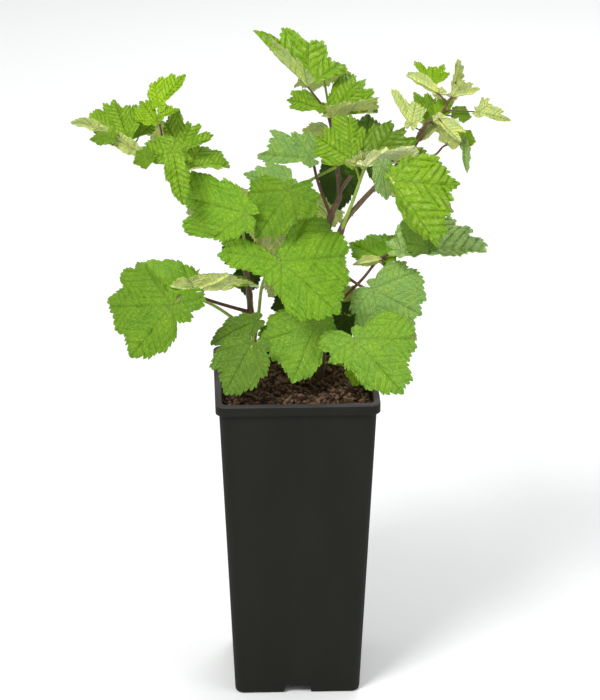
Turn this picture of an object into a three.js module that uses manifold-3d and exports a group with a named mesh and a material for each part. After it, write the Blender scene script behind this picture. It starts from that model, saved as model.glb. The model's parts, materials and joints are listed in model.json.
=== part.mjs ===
// Raspberry cane in a square rose pot.
// Millimetres, +X to the right, +Y to the back, +Z up, from the middle of the pot's underside.
// Three canes rise from the soil. Each compound leaf, or each bunch of young leaves, is one solid:
// leaf stalks and blades fused together, with its foot 0.3 mm clear of the cane that carries it.
import * as THREE from "three";
import Module from "manifold-3d";

const wasm = await Module();
wasm.setup();

// ---------------------------------------------------------------- driving sizes

const GAP = 0.3; // between neighbouring solids

const POT = {
  height: 230,
  footHalf: 44.75, // half the width at the floor
  topHalf: 55, // half the width just under the rim
  rimHalf: 57.5,
  rimDepth: 7.5,
  rimInside: 52.8,
  wall: 1.3,
  corner: 6.5,
  floor: 9,
  footRound: 2.8,
  cornerSteps: 3,
};

const NOTCH = { foot: 19.5, roof: 17, height: 7, inner: 10.75, holeRadius: 4, holeAt: 27 };

const SOIL = { edge: 221.5, crown: 226, crownHalf: 38 };

const BLADE_THICKNESS = 0.9;
const SMALL_LEAF = 31; // leaves shorter than this have no inner row of points
const MARGIN_STEP = { large: 44, small: 40 }; // degrees, about as far apart as the margin's even points
const TOOTH_DEPTH = 0.05;
const INNER_ROW = 0.55; // of the reach
const CANE_SIDES = 6;
const STALK_SIDES = 3;

// ---------------------------------------------------------------- solids

function vector(values) {
  return new THREE.Vector3(...values);
}

function geometryOf(positions, triangles) {
  const geometry = new THREE.BufferGeometry();
  geometry.setAttribute("position", new THREE.Float32BufferAttribute(positions, 3));
  geometry.setIndex(triangles);
  return geometry;
}

function solidOf(points, triangles) {
  const vertProperties = new Float32Array(points.flatMap((point) => point.toArray()));
  const triVerts = new Uint32Array(triangles);
  return new wasm.Manifold(new wasm.Mesh({ numProp: 3, vertProperties, triVerts }));
}

// The largest body of a fused solid: loose scraps and sealed hollows are dropped.
function mainBody(solid) {
  return solid.decompose().sort((a, b) => b.volume() - a.volume())[0];
}

function meshOf(name, solid, material) {
  const { vertProperties, triVerts } = mainBody(solid).getMesh();
  const geometry = geometryOf(Array.from(vertProperties), Array.from(triVerts));
  geometry.computeVertexNormals();
  const mesh = new THREE.Mesh(geometry, material);
  mesh.name = name;
  return mesh;
}

// Skin over a row of rings with equally many points, closed by a fan at both ends.
// Each ring runs counter-clockwise as seen from the end of the row.
function loft(rings) {
  const sides = rings[0].length;
  const points = rings.flat();
  const triangles = [];
  for (let row = 0; row + 1 < rings.length; row += 1) {
    for (let side = 0; side < sides; side += 1) {
      const next = (side + 1) % sides;
      const a = row * sides + side;
      const b = row * sides + next;
      triangles.push(a, b, b + sides, a, b + sides, a + sides);
    }
  }
  const first = points.length;
  const last = first + 1;
  points.push(centreOf(rings[0]), centreOf(rings[rings.length - 1]));
  const top = (rings.length - 1) * sides;
  for (let side = 0; side < sides; side += 1) {
    const next = (side + 1) % sides;
    triangles.push(first, next, side, last, top + side, top + next);
  }
  return solidOf(points, triangles);
}

function centreOf(ring) {
  const sum = new THREE.Vector3();
  ring.forEach((point) => sum.add(point));
  return sum.divideScalar(ring.length);
}

function squareRing(half, z, corner, steps) {
  const ring = [];
  for (let quarter = 0; quarter < 4; quarter += 1) {
    const middle = (quarter + 0.5) * (Math.PI / 2);
    const x = Math.sign(Math.cos(middle)) * (half - corner);
    const y = Math.sign(Math.sin(middle)) * (half - corner);
    for (let step = 0; step <= steps; step += 1) {
      const angle = (quarter + step / steps) * (Math.PI / 2);
      ring.push(new THREE.Vector3(x + corner * Math.cos(angle), y + corner * Math.sin(angle), z));
    }
  }
  return ring;
}

// A round tapering limb along a curve. Its foot may be cut level at the height `footZ`.
function limb(curve, steps, sides, radiusAt, footZ = null, overrun = 0) {
  const rings = [];
  let across = null;
  for (let step = 0; step <= steps; step += 1) {
    const t = step / steps;
    const centre = curve.getPoint(t);
    const along = curve.getTangent(t);
    if (step === steps) {
      centre.addScaledVector(along, overrun);
    }
    across = (across ?? leastAligned(along)).clone();
    across.addScaledVector(along, -across.dot(along)).normalize();
    const other = new THREE.Vector3().crossVectors(along, across);
    const ring = [];
    for (let side = 0; side < sides; side += 1) {
      const angle = (2 * Math.PI * side) / sides;
      const point = centre.clone();
      point.addScaledVector(across, radiusAt(t) * Math.cos(angle));
      point.addScaledVector(other, radiusAt(t) * Math.sin(angle));
      if (step === 0 && footZ !== null) {
        point.addScaledVector(along, (footZ - point.z) / along.z);
      }
      ring.push(point);
    }
    rings.push(ring);
  }
  return loft(rings);
}

function leastAligned(direction) {
  return Math.abs(direction.x) < 0.7 ? new THREE.Vector3(1, 0, 0) : new THREE.Vector3(0, 1, 0);
}

function smoothCurve(points) {
  return new THREE.CatmullRomCurve3(points, false, "catmullrom", 0.5);
}

// ---------------------------------------------------------------- pot and soil

function potWallHalf(z) {
  return THREE.MathUtils.lerp(POT.footHalf, POT.topHalf, z / (POT.height - POT.rimDepth));
}

function makePot() {
  const skirt = POT.height - POT.rimDepth;
  const ledge = POT.height - POT.wall;
  const inside = potWallHalf(POT.floor) - POT.wall;
  const ring = (half, z, corner = POT.corner) => squareRing(half, z, corner, POT.cornerSteps);
  const shell = loft([
    ring(POT.footHalf - 2.2, 0, POT.corner - 1.5),
    ring(POT.footHalf - 0.7, 0.8, POT.corner - 0.5),
    ring(potWallHalf(POT.footRound), POT.footRound),
    ring(potWallHalf(ledge), ledge),
    ring(POT.rimHalf - POT.wall, ledge),
    ring(POT.rimHalf - POT.wall, skirt),
    ring(POT.rimHalf, skirt, POT.corner + 0.5),
    ring(POT.rimHalf, POT.height - 0.8, POT.corner + 0.5),
    ring(POT.rimHalf - 0.8, POT.height),
    ring(POT.rimInside + 0.6, POT.height, POT.corner - 1),
    ring(POT.rimInside, POT.height - 0.6, POT.corner - 1.5),
    ring(POT.rimInside, skirt, POT.corner - 1.5),
    ring(inside, POT.floor, POT.corner - 1),
  ]);
  let pot = shell;
  for (let side = 0; side < 4; side += 1) {
    pot = pot.subtract(footNotch(side * (Math.PI / 2)));
    pot = pot.subtract(drainHole(side * (Math.PI / 2)));
  }
  return pot;
}

// An open channel under the floor that lets water out at the middle of one side.
function footNotch(turn) {
  const out = POT.footHalf + 10;
  const section = (x) => [
    new THREE.Vector3(x, NOTCH.foot / 2 + 0.4, -1),
    new THREE.Vector3(x, NOTCH.roof / 2, NOTCH.height),
    new THREE.Vector3(x, -NOTCH.roof / 2, NOTCH.height),
    new THREE.Vector3(x, -NOTCH.foot / 2 - 0.4, -1),
  ];
  return turned(loft([section(NOTCH.inner), section(out)]), turn);
}

function drainHole(turn) {
  const ring = (z) => {
    const points = [];
    for (let side = 0; side < 12; side += 1) {
      const angle = (Math.PI * side) / 6;
      const x = NOTCH.holeAt + NOTCH.holeRadius * Math.cos(angle);
      points.push(new THREE.Vector3(x, NOTCH.holeRadius * Math.sin(angle), z));
    }
    return points;
  };
  return turned(loft([ring(NOTCH.height - 2), ring(POT.floor + 2)]), turn);
}

function turned(solid, angle) {
  return solid.rotate([0, 0, THREE.MathUtils.radToDeg(angle)]);
}

function makeSoil() {
  const ring = (half, z, corner = POT.corner - 2) => squareRing(half, z, corner, POT.cornerSteps);
  const wallInside = POT.wall + GAP + 0.2;
  const skirt = POT.height - POT.rimDepth;
  const innerHalf = (z) => THREE.MathUtils.lerp(
    potWallHalf(POT.floor) - wallInside,
    POT.rimInside - GAP - 0.2,
    (z - POT.floor) / (skirt - POT.floor),
  );
  return loft([
    ring(innerHalf(POT.floor) - 0.3, POT.floor + GAP),
    ring(innerHalf(SOIL.edge) - 0.2, SOIL.edge),
    ring(SOIL.crownHalf, SOIL.crown, POT.corner + 8),
  ]);
}

// ---------------------------------------------------------------- canes

const CANES = {
  left_cane: {
    radius: [2.4, 1.5], footZ: SOIL.crown + GAP,
    points: [
      [-27, 20, 218], [-31, 15, 271], [-34, 8, 303], [-42, 1, 326], [-63, -8, 371], [-99, -15, 402],
    ],
  },
  middle_cane: {
    radius: [2.8, 1.3], footZ: SOIL.crown + GAP,
    points: [[6, 22, 218], [16, 27, 290], [26, 30, 337], [32, 32, 352], [30, 30, 378], [26, 26, 407]],
  },
  right_cane: {
    radius: [2.6, 1.3], footZ: SOIL.crown + GAP,
    points: [[17, 8, 218], [24, 5, 290], [32, 3, 337], [44, -2, 358], [68, -9, 387], [80, -12, 401]],
  },
  middle_branch: {
    radius: [1.6, 1.2],
    points: [[32, 31, 356], [41, 26, 371], [48, 20, 383]],
  },
};

const ROOT_FLARE = 1.3;
const FLARE_LENGTH = 0.05; // of the cane's length

for (const cane of Object.values(CANES)) {
  cane.curve = smoothCurve(cane.points.map(vector));
}

function caneRadius(cane, t) {
  const flare = 1 + (ROOT_FLARE - 1) * Math.max(0, 1 - t / FLARE_LENGTH);
  return THREE.MathUtils.lerp(cane.radius[0], cane.radius[1], t) * (cane.footZ ? flare : 1);
}

function caneSteps(cane) {
  return Math.ceil(cane.curve.getLength() / 11);
}

// The point of a cane's centreline at a height above the floor.
function caneAtHeight(cane, height) {
  let low = 0;
  let high = 1;
  for (let halving = 0; halving < 30; halving += 1) {
    const middle = (low + high) / 2;
    if (cane.curve.getPoint(middle).z < height) {
      low = middle;
    } else {
      high = middle;
    }
  }
  return cane.curve.getPoint(low);
}

function makeCane(cane) {
  return limb(cane.curve, caneSteps(cane), CANE_SIDES, (t) => caneRadius(cane, t), cane.footZ ?? null);
}

// The space round a cane that its leaf stalks keep out of.
function makeSleeve(cane) {
  const radius = (t) => caneRadius(cane, t) + GAP;
  return limb(cane.curve, caneSteps(cane), CANE_SIDES, radius, null, GAP);
}

// ---------------------------------------------------------------- leaf blades

// Each lobe is its angle from the midrib in degrees, to the left above zero, its reach as a share of the
// leaf's length and, where it differs from the leaf's, its spread in degrees.
const BLADE_SHAPES = {
  broad: { lobes: mirrored([[0, 0.97], [50, 0.9], [100, 0.68], [148, 0.45]]), spread: 46, limit: 172 },
  heart: { lobes: mirrored([[0, 0.98], [45, 0.88], [95, 0.58], [145, 0.34]]), spread: 46, limit: 170 },
  oval: { lobes: mirrored([[0, 1], [38, 0.7], [85, 0.46], [140, 0.25]]), spread: 44, limit: 165 },
  fan: { lobes: mirrored([[0, 1], [38, 0.9], [72, 0.55]]), spread: 40, limit: 100 },
};

function mirrored(lobes) {
  return lobes.flatMap(([at, reach]) => (at === 0 ? [[at, reach]] : [[at, reach], [-at, reach]]));
}

const LOBE_DIP = 0.22;
const WEB = 0.2; // the least reach between two lobes
const LOBE_POWER = 1.6;
const SINUS_START = 150;
const CUP = THREE.MathUtils.degToRad(-20);

function bladeReach(angle, leaf) {
  const away = Math.abs(angle);
  const reaches = leaf.lobes.map(([at, reach, spread = leaf.spread]) => {
    return reach * (1 - LOBE_DIP * (Math.abs(angle - at) / spread) ** LOBE_POWER);
  });
  const sinus = away > SINUS_START ? 1 - 0.95 * ((away - SINUS_START) / 30) ** 2 : 1;
  return Math.max(WEB, ...reaches) * Math.max(0.05, sinus);
}

// The directions of a leaf: where its upper face looks, along its midrib and to the midrib's left.
function leafFrame([heading, rise], spin) {
  const [h, r, s] = [heading, rise, spin].map(THREE.MathUtils.degToRad);
  const face = new THREE.Vector3(Math.cos(r) * Math.cos(h), Math.cos(r) * Math.sin(h), Math.sin(r));
  const across = new THREE.Vector3(-Math.sin(h), Math.cos(h), 0);
  const up = new THREE.Vector3().crossVectors(face, across);
  const rib = new THREE.Vector3().addScaledVector(across, Math.cos(s)).addScaledVector(up, Math.sin(s));
  const left = new THREE.Vector3().crossVectors(face, rib);
  return { rib, left, face };
}

function bothSides(value) {
  return Array.isArray(value) ? value : [value, value];
}

// A point of the blade: `u` along the midrib and `v` to its left on the flat leaf, `lift` above it.
// The midrib curls back by `curl` degrees along its length, and each half folds up from it.
function bladePoint(leaf, u, v, lift) {
  const { rib, left, face } = leaf.frame;
  const curl = THREE.MathUtils.degToRad(leaf.curl) + 1e-6;
  const bend = curl * THREE.MathUtils.clamp(u / leaf.length, -1, 1.2);
  const along = (leaf.length / curl) * Math.sin(bend);
  const drop = (leaf.length / curl) * (1 - Math.cos(bend));
  const normal = rib.clone().multiplyScalar(Math.sin(bend)).addScaledVector(face, Math.cos(bend));
  const folds = bothSides(leaf.fold).map(THREE.MathUtils.degToRad);
  const width = Math.abs(v);
  const cup = (CUP * width) / leaf.length;
  const tilt = v > 0 ? folds[0] : folds[1];
  const point = leaf.base.clone().addScaledVector(rib, along).addScaledVector(face, -drop);
  point.addScaledVector(left, v === 0 ? 0 : Math.sign(v) * width * Math.cos(tilt + cup));
  point.addScaledVector(normal, width * Math.sin(tilt + cup));
  if (v === 0) {
    const middle = (folds[0] - folds[1]) / 2;
    const mitre = lift / Math.max(0.55, Math.cos((folds[0] + folds[1]) / 2));
    point.addScaledVector(normal, mitre * Math.cos(middle));
    return point.addScaledVector(left, -mitre * Math.sin(middle));
  }
  const slope = tilt + 2 * cup;
  point.addScaledVector(normal, lift * Math.cos(slope));
  return point.addScaledVector(left, -Math.sign(v) * lift * Math.sin(slope));
}

const ROOT_DEPTH = 0.12; // of the leaf's length, sunk into the blade

// The angles of the margin's points: one at each lobe's tip and some in between, on a large leaf
// always an odd number of them, so that every second one is a notch.
function marginAngles(leaf) {
  const stops = [-leaf.limit, ...leaf.lobes.map(([at]) => at), leaf.limit].sort((a, b) => a - b);
  const small = leaf.length < SMALL_LEAF;
  const step = MARGIN_STEP[small ? "small" : "large"];
  const angles = [stops[0]];
  for (let stop = 1; stop < stops.length; stop += 1) {
    const span = stops[stop] - stops[stop - 1];
    const parts = Math.max(1, Math.round(span / step)) * (small ? 1 : 2);
    for (let part = 1; part <= parts; part += 1) {
      angles.push(stops[stop - 1] + (span * part) / parts);
    }
  }
  return angles;
}

function makeBlade(leaf) {
  const small = leaf.length < SMALL_LEAF;
  const angles = marginAngles(leaf);
  const margin = angles.length - 1;
  const widths = bothSides(leaf.width);
  const flat = [[0, 0]]; // the flat leaf: its base, the toothed margin and an inner row
  const row = (stride, share) => {
    for (let step = 0; step <= margin; step += stride) {
      const tooth = step % 2 === 1 && !small ? 1 - TOOTH_DEPTH : 1;
      const reach = leaf.length * bladeReach(angles[step], leaf) * tooth * share;
      const angle = THREE.MathUtils.degToRad(angles[step]);
      const width = angles[step] === 0 ? 0 : widths[angles[step] > 0 ? 0 : 1];
      flat.push([reach * Math.cos(angle), reach * Math.sin(angle) * width]);
    }
  };
  row(1, 1);
  const outer = (step) => 1 + step;
  const edge = Array.from({ length: margin + 1 }, (_, step) => outer(step));
  const faces = [];
  if (small) {
    for (let step = 0; step < margin; step += 1) {
      faces.push([0, outer(step), outer(step + 1)]);
    }
  } else {
    row(2, INNER_ROW);
    const inner = (step) => margin + 2 + step;
    for (let step = 0; step < margin / 2; step += 1) {
      faces.push([0, inner(step), inner(step + 1)]);
      faces.push([inner(step), outer(2 * step), outer(2 * step + 1)]);
      faces.push([inner(step), outer(2 * step + 1), inner(step + 1)]);
      faces.push([inner(step + 1), outer(2 * step + 1), outer(2 * step + 2)]);
    }
    edge.unshift(inner(0));
    edge.push(inner(margin / 2));
  }
  edge.unshift(0);
  const half = BLADE_THICKNESS / 2;
  const points = [half, -half].flatMap((lift) => flat.map(([u, v]) => bladePoint(leaf, u, v, lift)));
  const below = flat.length;
  const triangles = [];
  for (const [a, b, c] of faces) {
    triangles.push(a, b, c, below + a, below + c, below + b);
  }
  edge.forEach((a, index) => {
    const b = edge[(index + 1) % edge.length];
    triangles.push(below + a, below + b, b, below + a, b, a);
  });
  return solidOf(points, triangles);
}

function makeStalk(points, radii) {
  const curve = smoothCurve(points);
  const steps = THREE.MathUtils.clamp(Math.round(curve.getLength() / 13), 2, 6);
  return limb(curve, steps, STALK_SIDES, (t) => THREE.MathUtils.lerp(radii[0], radii[1], t));
}

// ---------------------------------------------------------------- sprays

const LEAF_DEFAULTS = { curl: 10, fold: 8, width: 1, tone: "mature" };

// A leaf is its base, where its face looks (heading and rise), the spin of its midrib and its length.
function leaf(base, faces, spin, length, more = {}) {
  const frame = leafFrame(faces, spin);
  const { shape = "broad", ...own } = more;
  return { ...LEAF_DEFAULTS, ...BLADE_SHAPES[shape], ...own, base: vector(base), frame, length };
}

// A spray: its main stalk leaves a cane at the height `from`.
const SPRAYS = {
  leaf_left_low: {
    cane: "left_cane", from: 272, stalk: [[-56, 2, 285], [-71, -11, 296]], radius: [1.3, 1],
    leaves: [
      leaf([-87, -30, 295], [-112, 28], -124, 54, {
        fold: [-12, 0], curl: 18,
        lobes: [[0, 0.87, 24], [-36, 0.94, 22], [-54, 1.07, 14], [-80, 1.08, 12], [-93, 0.95, 10],
          [22, 0.66, 20], [95, 0.34, 26], [150, 0.5, 24]],
      }),
      leaf([-73, -14, 301], [-90, 70], 150, 46, {
        fold: 5, curl: 12, lobes: [[-15, 1.12, 16], [-34, 0.9, 16], [-52, 0.68, 16], [15, 0.6, 26]],
      }),
      leaf([-70, -12, 300], [-90, 80], 2, 45, { fold: [20, 85], curl: -8, width: [0.45, 0.45] }),
    ],
  },
  leaf_left_foot: {
    cane: "left_cane", from: 258, stalk: [[-32, 4, 264], [-32, -8, 272]], radius: [1.2, 0.9],
    leaves: [
      leaf([-31.5, -38, 270], [-100, 35], -115, 42, {
        fold: [0, 5], curl: 15, limit: 130,
        lobes: [[3, 0.97, 22], [22, 0.84, 20], [42, 0.66, 24], [62, 0.48, 20], [-30, 0.82, 22],
          [-52, 0.6, 20], [-80, 0.3, 24], [105, 0.35, 30]],
      }),
      leaf([-28, -14, 277], [-110, 45], -149, 38, {
        fold: [0, 10], curl: 25,
        lobes: [[0, 1, 14], [-17, 0.7, 14], [-38, 0.38, 20], [20, 0.5, 16], [60, 0.3, 24]],
      }),
    ],
  },
  leaf_left_behind: {
    cane: "left_cane", from: 286, stalk: [[-29, 23, 294]], radius: [0.9, 0.8],
    leaves: [leaf([-33, 24, 299], [-90, 10], -95, 18, { width: 0.7, tone: "dark" })],
  },
  leaf_low_behind: {
    cane: "middle_cane", from: 263, stalk: [[3, 20, 274]], radius: [0.9, 0.8],
    leaves: [leaf([-3, 12, 280], [-90, 30], 195, 15, { width: 0.9, tone: "dark" })],
  },
  leaf_left_inner: {
    cane: "left_cane", from: 309, stalk: [[-36, 11, 312]], radius: [0.9, 0.8],
    leaves: [leaf([-37, 13, 318], [-110, 30], 150, 18, { tone: "dark" })],
  },
  leaf_left_high: {
    cane: "left_cane", from: 316, stalk: [[-36, -8, 334], [-37, -27, 351]], radius: [1.2, 0.9],
    leaves: [
      leaf([-34.5, -34, 363.5], [-100, 18], 168, 50, {
        fold: [-8, -6], curl: 12,
        lobes: [[3, 0.97, 10], [28, 1.02, 14], [-19, 1.04, 12], [-8, 1, 12], [-38, 0.64, 16],
          [-60, 0.34, 24], [46, 0.7, 18], [64, 0.46, 22], [100, 0.3, 36]],
      }),
    ],
  },
  leaf_centre_high: {
    cane: "middle_cane", from: 375, stalk: [[11, 14, 371], [1, -6, 374]], radius: [1.1, 0.9],
    leaves: [
      leaf([-4, -21, 376], [-90, 20], -127, 42, {
        fold: -6, curl: 8,
        lobes: [[0, 0.97, 16], [17, 0.88, 16], [-15, 0.95, 16], [-38, 0.83, 20], [-60, 0.76, 20],
          [80, 0.66, 22], [108, 0.54, 22], [42, 0.6, 22], [145, 0.42, 26]],
      }),
      leaf([-4, -14, 377], [-100, 60], 165, 34, {
        fold: 8, curl: 5,
        lobes: [[0, 1.03, 12], [-14, 0.9, 12], [-33, 0.88, 14], [-52, 0.66, 14], [20, 0.3, 20]],
      }),
    ],
  },
  leaf_middle_left: {
    cane: "middle_cane", from: 338, stalk: [[17, 18, 366], [13, 10, 384]], radius: [1.2, 0.9],
    leaves: [
      leaf([11, 8, 389], [-100, 45], 176, 40, {
        fold: [10, 15], curl: 5,
        lobes: [[4, 0.98, 10], [-8, 0.84, 12], [-20, 0.86, 9], [-30, 0.94, 8], [-47, 0.64, 14],
          [-79, 0.52, 26]],
      }),
    ],
  },
  leaf_middle_pair: {
    cane: "right_cane", from: 336, stalk: [[40, -4, 362], [46, -9, 383]], radius: [1.5, 1.1],
    leaves: [
      leaf([39, -12, 394], [-100, 22], 150, 34, {
        fold: [0, -5],
        lobes: [[2, 0.92, 16], [17, 0.86, 14], [32, 0.7, 12], [-15, 0.93, 14], [-37, 1.08, 14],
          [-53, 1.03, 12], [-70, 0.8, 14]],
      }),
      leaf([48, -18, 392.5], [-105, 35], 9, 46, {
        fold: [8, 110], curl: 5,
        lobes: [[6, 1, 12], [22, 0.88, 12], [40, 0.83, 12], [58, 0.8, 14], [75, 0.66, 12],
          [-20, 0.9, 14], [-40, 0.82, 12], [-58, 0.55, 14]],
      }),
      leaf([46.5, -17, 391], [95, 15], 78, 14, {
        curl: 0, tone: "pale",
        lobes: [[0, 1, 18], [24, 1, 16], [44, 1.13, 12], [-28, 0.92, 18], [-51, 1.13, 12]],
      }),
    ],
  },
  leaf_middle_top: {
    cane: "middle_branch", from: 382, stalk: [[49, 13, 386]], radius: [1, 0.8],
    leaves: [leaf([49, 9, 387.5], [-90, 45], 85, 37, { fold: 5, curl: 5, width: 0.65 })],
  },
  leaf_middle_behind: {
    cane: "middle_cane", from: 378, stalk: [[31, 38, 380]], radius: [1, 0.8],
    leaves: [leaf([32, 45, 368], [-90, 10], -88, 31, { width: 0.62, tone: "dark" })],
  },
  leaf_right_upper: {
    cane: "right_cane", from: 381, stalk: [[65, -24, 382]], radius: [1.1, 0.9],
    leaves: [
      leaf([64.5, -40, 388.5], [-86, 22], -56, 60, {
        fold: [0, -70], curl: 18,
        lobes: [[0, 0.93, 14], [9, 0.9, 12], [22, 0.82, 14], [36, 0.79, 10], [51, 0.84, 11],
          [66, 0.74, 14], [80, 0.64, 14], [97, 0.42, 18], [-12, 0.85, 20]],
      }),
      leaf([58, -33, 397], [-90, 10], -82, 24, { shape: "oval", width: 0.6 }),
    ],
  },
  shoot_tip_middle: {
    cane: "middle_cane", from: 404, stalk: [[23, 24, 417], [20, 22, 424]], radius: [1.2, 0.9],
    leaves: [
      leaf([10, 20, 438], [-70, 40], 126, 56, {
        fold: [110, 8], curl: -8, limit: 116,
        lobes: [[0, 0.95, 12], [-27, 0.83, 15], [-44, 0.66, 16], [-63, 0.69, 16], [-83, 0.53, 16],
          [-104, 0.6, 14], [28, 0.42, 22]],
      }),
      leaf([25.5, 20, 415], [-105, 40], 12, 36, {
        fold: [10, 105], curl: 5,
        lobes: [[8, 1, 12], [27, 1.02, 14], [46, 1.04, 12], [65, 1.12, 13], [80, 0.6, 12],
          [-12, 0.96, 12], [-28, 1.1, 12], [-50, 0.8, 16], [-80, 0.56, 14]],
      }),
      leaf([19, 20, 421.5], [-100, 50], 165, 26, {
        fold: 10, lobes: [[13, 0.92, 12], [0, 1.03, 12], [-14, 1.05, 12], [-25, 0.84, 12]],
      }),
    ],
  },
  leaf_right_far: {
    cane: "right_cane", from: 275,
    stalk: [[31, 0, 285], [47, 4, 300], [60, 8, 314], [76, 4, 322]], radius: [1.2, 0.9],
    leaves: [
      leaf([65, 8, 313], [-90, 60], 145, 36, {
        fold: 5,
        lobes: [[2, 0.9, 16], [22, 0.76, 14], [-28, 0.78, 18], [-50, 0.78, 14], [-75, 0.88, 18],
          [-97, 0.55, 16]],
      }),
      leaf([61, -1, 317], [80, 20], -18, 22, {
        curl: 0, limit: 60, tone: "pale", lobes: [[0, 1.03, 12], [19, 0.75, 12], [-14, 0.7, 12]],
      }),
      leaf([92, -10, 329], [-90, 50], 115, 30, {
        fold: 5, tone: "dark",
        lobes: [[-8, 1.04, 14], [12, 0.96, 14], [26, 0.82, 14], [46, 0.62, 18], [72, 0.54, 18],
          [94, 0.48, 16], [-35, 0.45, 24]],
      }),
      leaf([74, -4, 325], [-90, 60], 0, 64, {
        fold: [5, 30], curl: 5,
        lobes: [[4, 1, 10], [18, 0.86, 12], [36, 0.76, 14], [56, 0.68, 18], [80, 0.45, 16],
          [-8, 0.74, 12], [-30, 0.3, 20]],
      }),
    ],
  },
  leaf_centre: {
    cane: "left_cane", from: 246,
    stalk: [[-26, 8, 270], [-23, 4, 297], [-16, -14, 318]], radius: [1.3, 1],
    leaves: [
      leaf([-10, -30, 327], [-82, 28], -46, 57, {
        fold: [-5, 4],
        lobes: [[0, 0.95, 26], [29, 0.9, 24], [60, 0.98, 22], [84, 0.93, 20], [-20, 0.82, 22],
          [-42, 0.5, 24], [-75, 0.36, 30], [-118, 0.42, 18], [-146, 0.81, 15], [-163, 0.9, 16]],
      }),
    ],
  },
  leaf_centre_low: {
    cane: "middle_cane", from: 243, stalk: [[13, 8, 256], [14, -6, 268]], radius: [1.3, 1],
    leaves: [
      leaf([14, -20, 277], [-90, 30], -113, 46, {
        fold: [-5, 0],
        lobes: [[0, 0.97, 22], [-29, 0.92, 22], [-51, 1, 22], [-72, 0.84, 16], [33, 0.52, 30],
          [79, 0.38, 36], [125, 0.3, 30]],
      }),
    ],
  },
  leaf_right_foot: {
    cane: "right_cane", from: 244, stalk: [[30, -3, 256], [38, -20, 263]], radius: [1.3, 1],
    leaves: [
      leaf([40.5, -39, 272], [-88, 30], -50, 54, {
        fold: [5, -5], curl: 15,
        lobes: [[0, 0.95, 20], [10, 0.92, 16], [44, 0.83, 28], [63, 0.8, 20], [79, 0.7, 14],
          [-18, 0.76, 18], [-45, 0.46, 28], [-90, 0.46, 22], [-126, 0.52, 24]],
      }),
    ],
  },
  leaf_right_low: {
    cane: "right_cane", from: 313, stalk: [[38, -2, 303], [49, -8, 298]], radius: [1.2, 0.9],
    leaves: [
      leaf([54, -11, 298.5], [-90, 8], -30, 45, {
        fold: [-8, 15], curl: 8,
        lobes: [[2, 0.9, 20], [20, 0.91, 20], [40, 0.87, 20], [66, 0.68, 20], [-22, 0.96, 24],
          [-50, 0.68, 20], [-76, 0.7, 20], [-98, 0.55, 24], [-130, 0.34, 30]],
      }),
    ],
  },
  leaf_soil_right: {
    cane: "right_cane", from: 236, stalk: [[28, 0, 238], [40, -10, 238]], radius: [0.9, 0.8],
    leaves: [leaf([43, -12, 238], [-80, 60], -40, 16, { fold: 5, tone: "young" })],
  },
  leaf_tip_left_top: {
    cane: "left_cane", from: 399, stalk: [[-92, -9, 411], [-94, -19, 428]], radius: [0.9, 0.7],
    leaves: [
      leaf([-93.5, -18, 437], [-100, 30], 56, 29, {
        curl: 20, tone: "young",
        lobes: [[0, 1, 10], [14, 0.86, 14], [30, 0.76, 16], [50, 0.66, 16], [74, 0.5, 14]],
      }),
      leaf([-95.5, -22, 427], [-100, 40], 130, 20, {
        tone: "young",
        lobes: [[-12, 0.95, 12], [3, 1, 14], [20, 0.93, 14], [38, 0.9, 14], [60, 0.56, 16]],
      }),
      leaf([-93, -22, 430], [-90, 40], 24, 17, {
        tone: "young", lobes: [[2, 0.88, 10], [18, 0.78, 14], [40, 0.7, 14], [60, 0.48, 16]],
      }),
    ],
  },
  shoot_tip_left: {
    cane: "left_cane", from: 401.4,
    stalk: [[-115, -18, 410], [-127, -19, 417], [-133, -20, 422]], radius: [1.4, 0.8],
    leaves: [
      leaf([-116, -22, 417], [-110, 40], 120, 30, {
        fold: 10,
        lobes: [[33, 1.2, 12], [14, 1.08, 10], [3, 1.07, 10], [-20, 0.83, 12], [-34, 0.85, 10],
          [-60, 0.5, 20]],
      }),
      leaf([-108, -6, 411], [-90, 45], 112, 26, { shape: "fan", width: 0.8 }),
      leaf([-135, -20, 421.5], [-110, 60], 168, 23, {
        fold: 35, shape: "oval", width: 0.45, tone: "pale",
      }),
      leaf([-126, -25, 419], [-110, 60], 160, 20, { fold: 30, shape: "oval", width: 0.5, tone: "young" }),
      leaf([-111, -28, 409], [-90, 30], 150, 34, { fold: 30, shape: "oval", width: 0.35, tone: "pale" }),
      leaf([-126, -31, 418], [-90, 60], 176, 15, { shape: "oval", width: 0.8 }),
    ],
  },
  leaf_tip_left_right: {
    cane: "left_cane", from: 389, stalk: [[-81, -14, 400]], radius: [1, 0.8],
    leaves: [
      leaf([-79.5, -14, 404], [-95, 35], 70, 32, {
        lobes: [[50, 0.78, 12], [36, 0.9, 10], [26, 0.98, 8], [6, 0.72, 10], [-14, 0.74, 12],
          [-42, 0.82, 10]],
      }),
      leaf([-77, -35, 402], [-100, 42], 166, 34, {
        fold: 5,
        lobes: [[1, 1.04, 12], [-11, 0.95, 12], [-26, 0.86, 12], [-40, 0.78, 12], [-63, 0.42, 14],
          [12, 0.5, 14]],
      }),
      leaf([-84.5, -37, 411.5], [-95, 20], -79, 38, {
        fold: 5, curl: 15, tone: "young",
        lobes: [[1, 1, 12], [-18, 0.6, 14], [-45, 0.32, 20], [14, 0.7, 12], [38, 0.34, 18]],
      }),
      leaf([-102, -38, 407], [-100, 40], 205, 11, { width: 0.9 }),
      leaf([-74.5, -13, 390], [-90, 50], 10, 31, {
        fold: [10, 60], curl: 30,
        lobes: [[4, 1.04, 12], [22, 0.95, 12], [42, 0.84, 14], [60, 0.74, 14], [82, 0.34, 14],
          [-25, 0.8, 20]],
      }),
    ],
  },
  shoot_tip_right: {
    cane: "right_cane", from: 400.4,
    stalk: [[86, -13, 412], [90, -14, 421], [97, -14, 425], [103, -13, 433], [107, -12, 440]],
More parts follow.
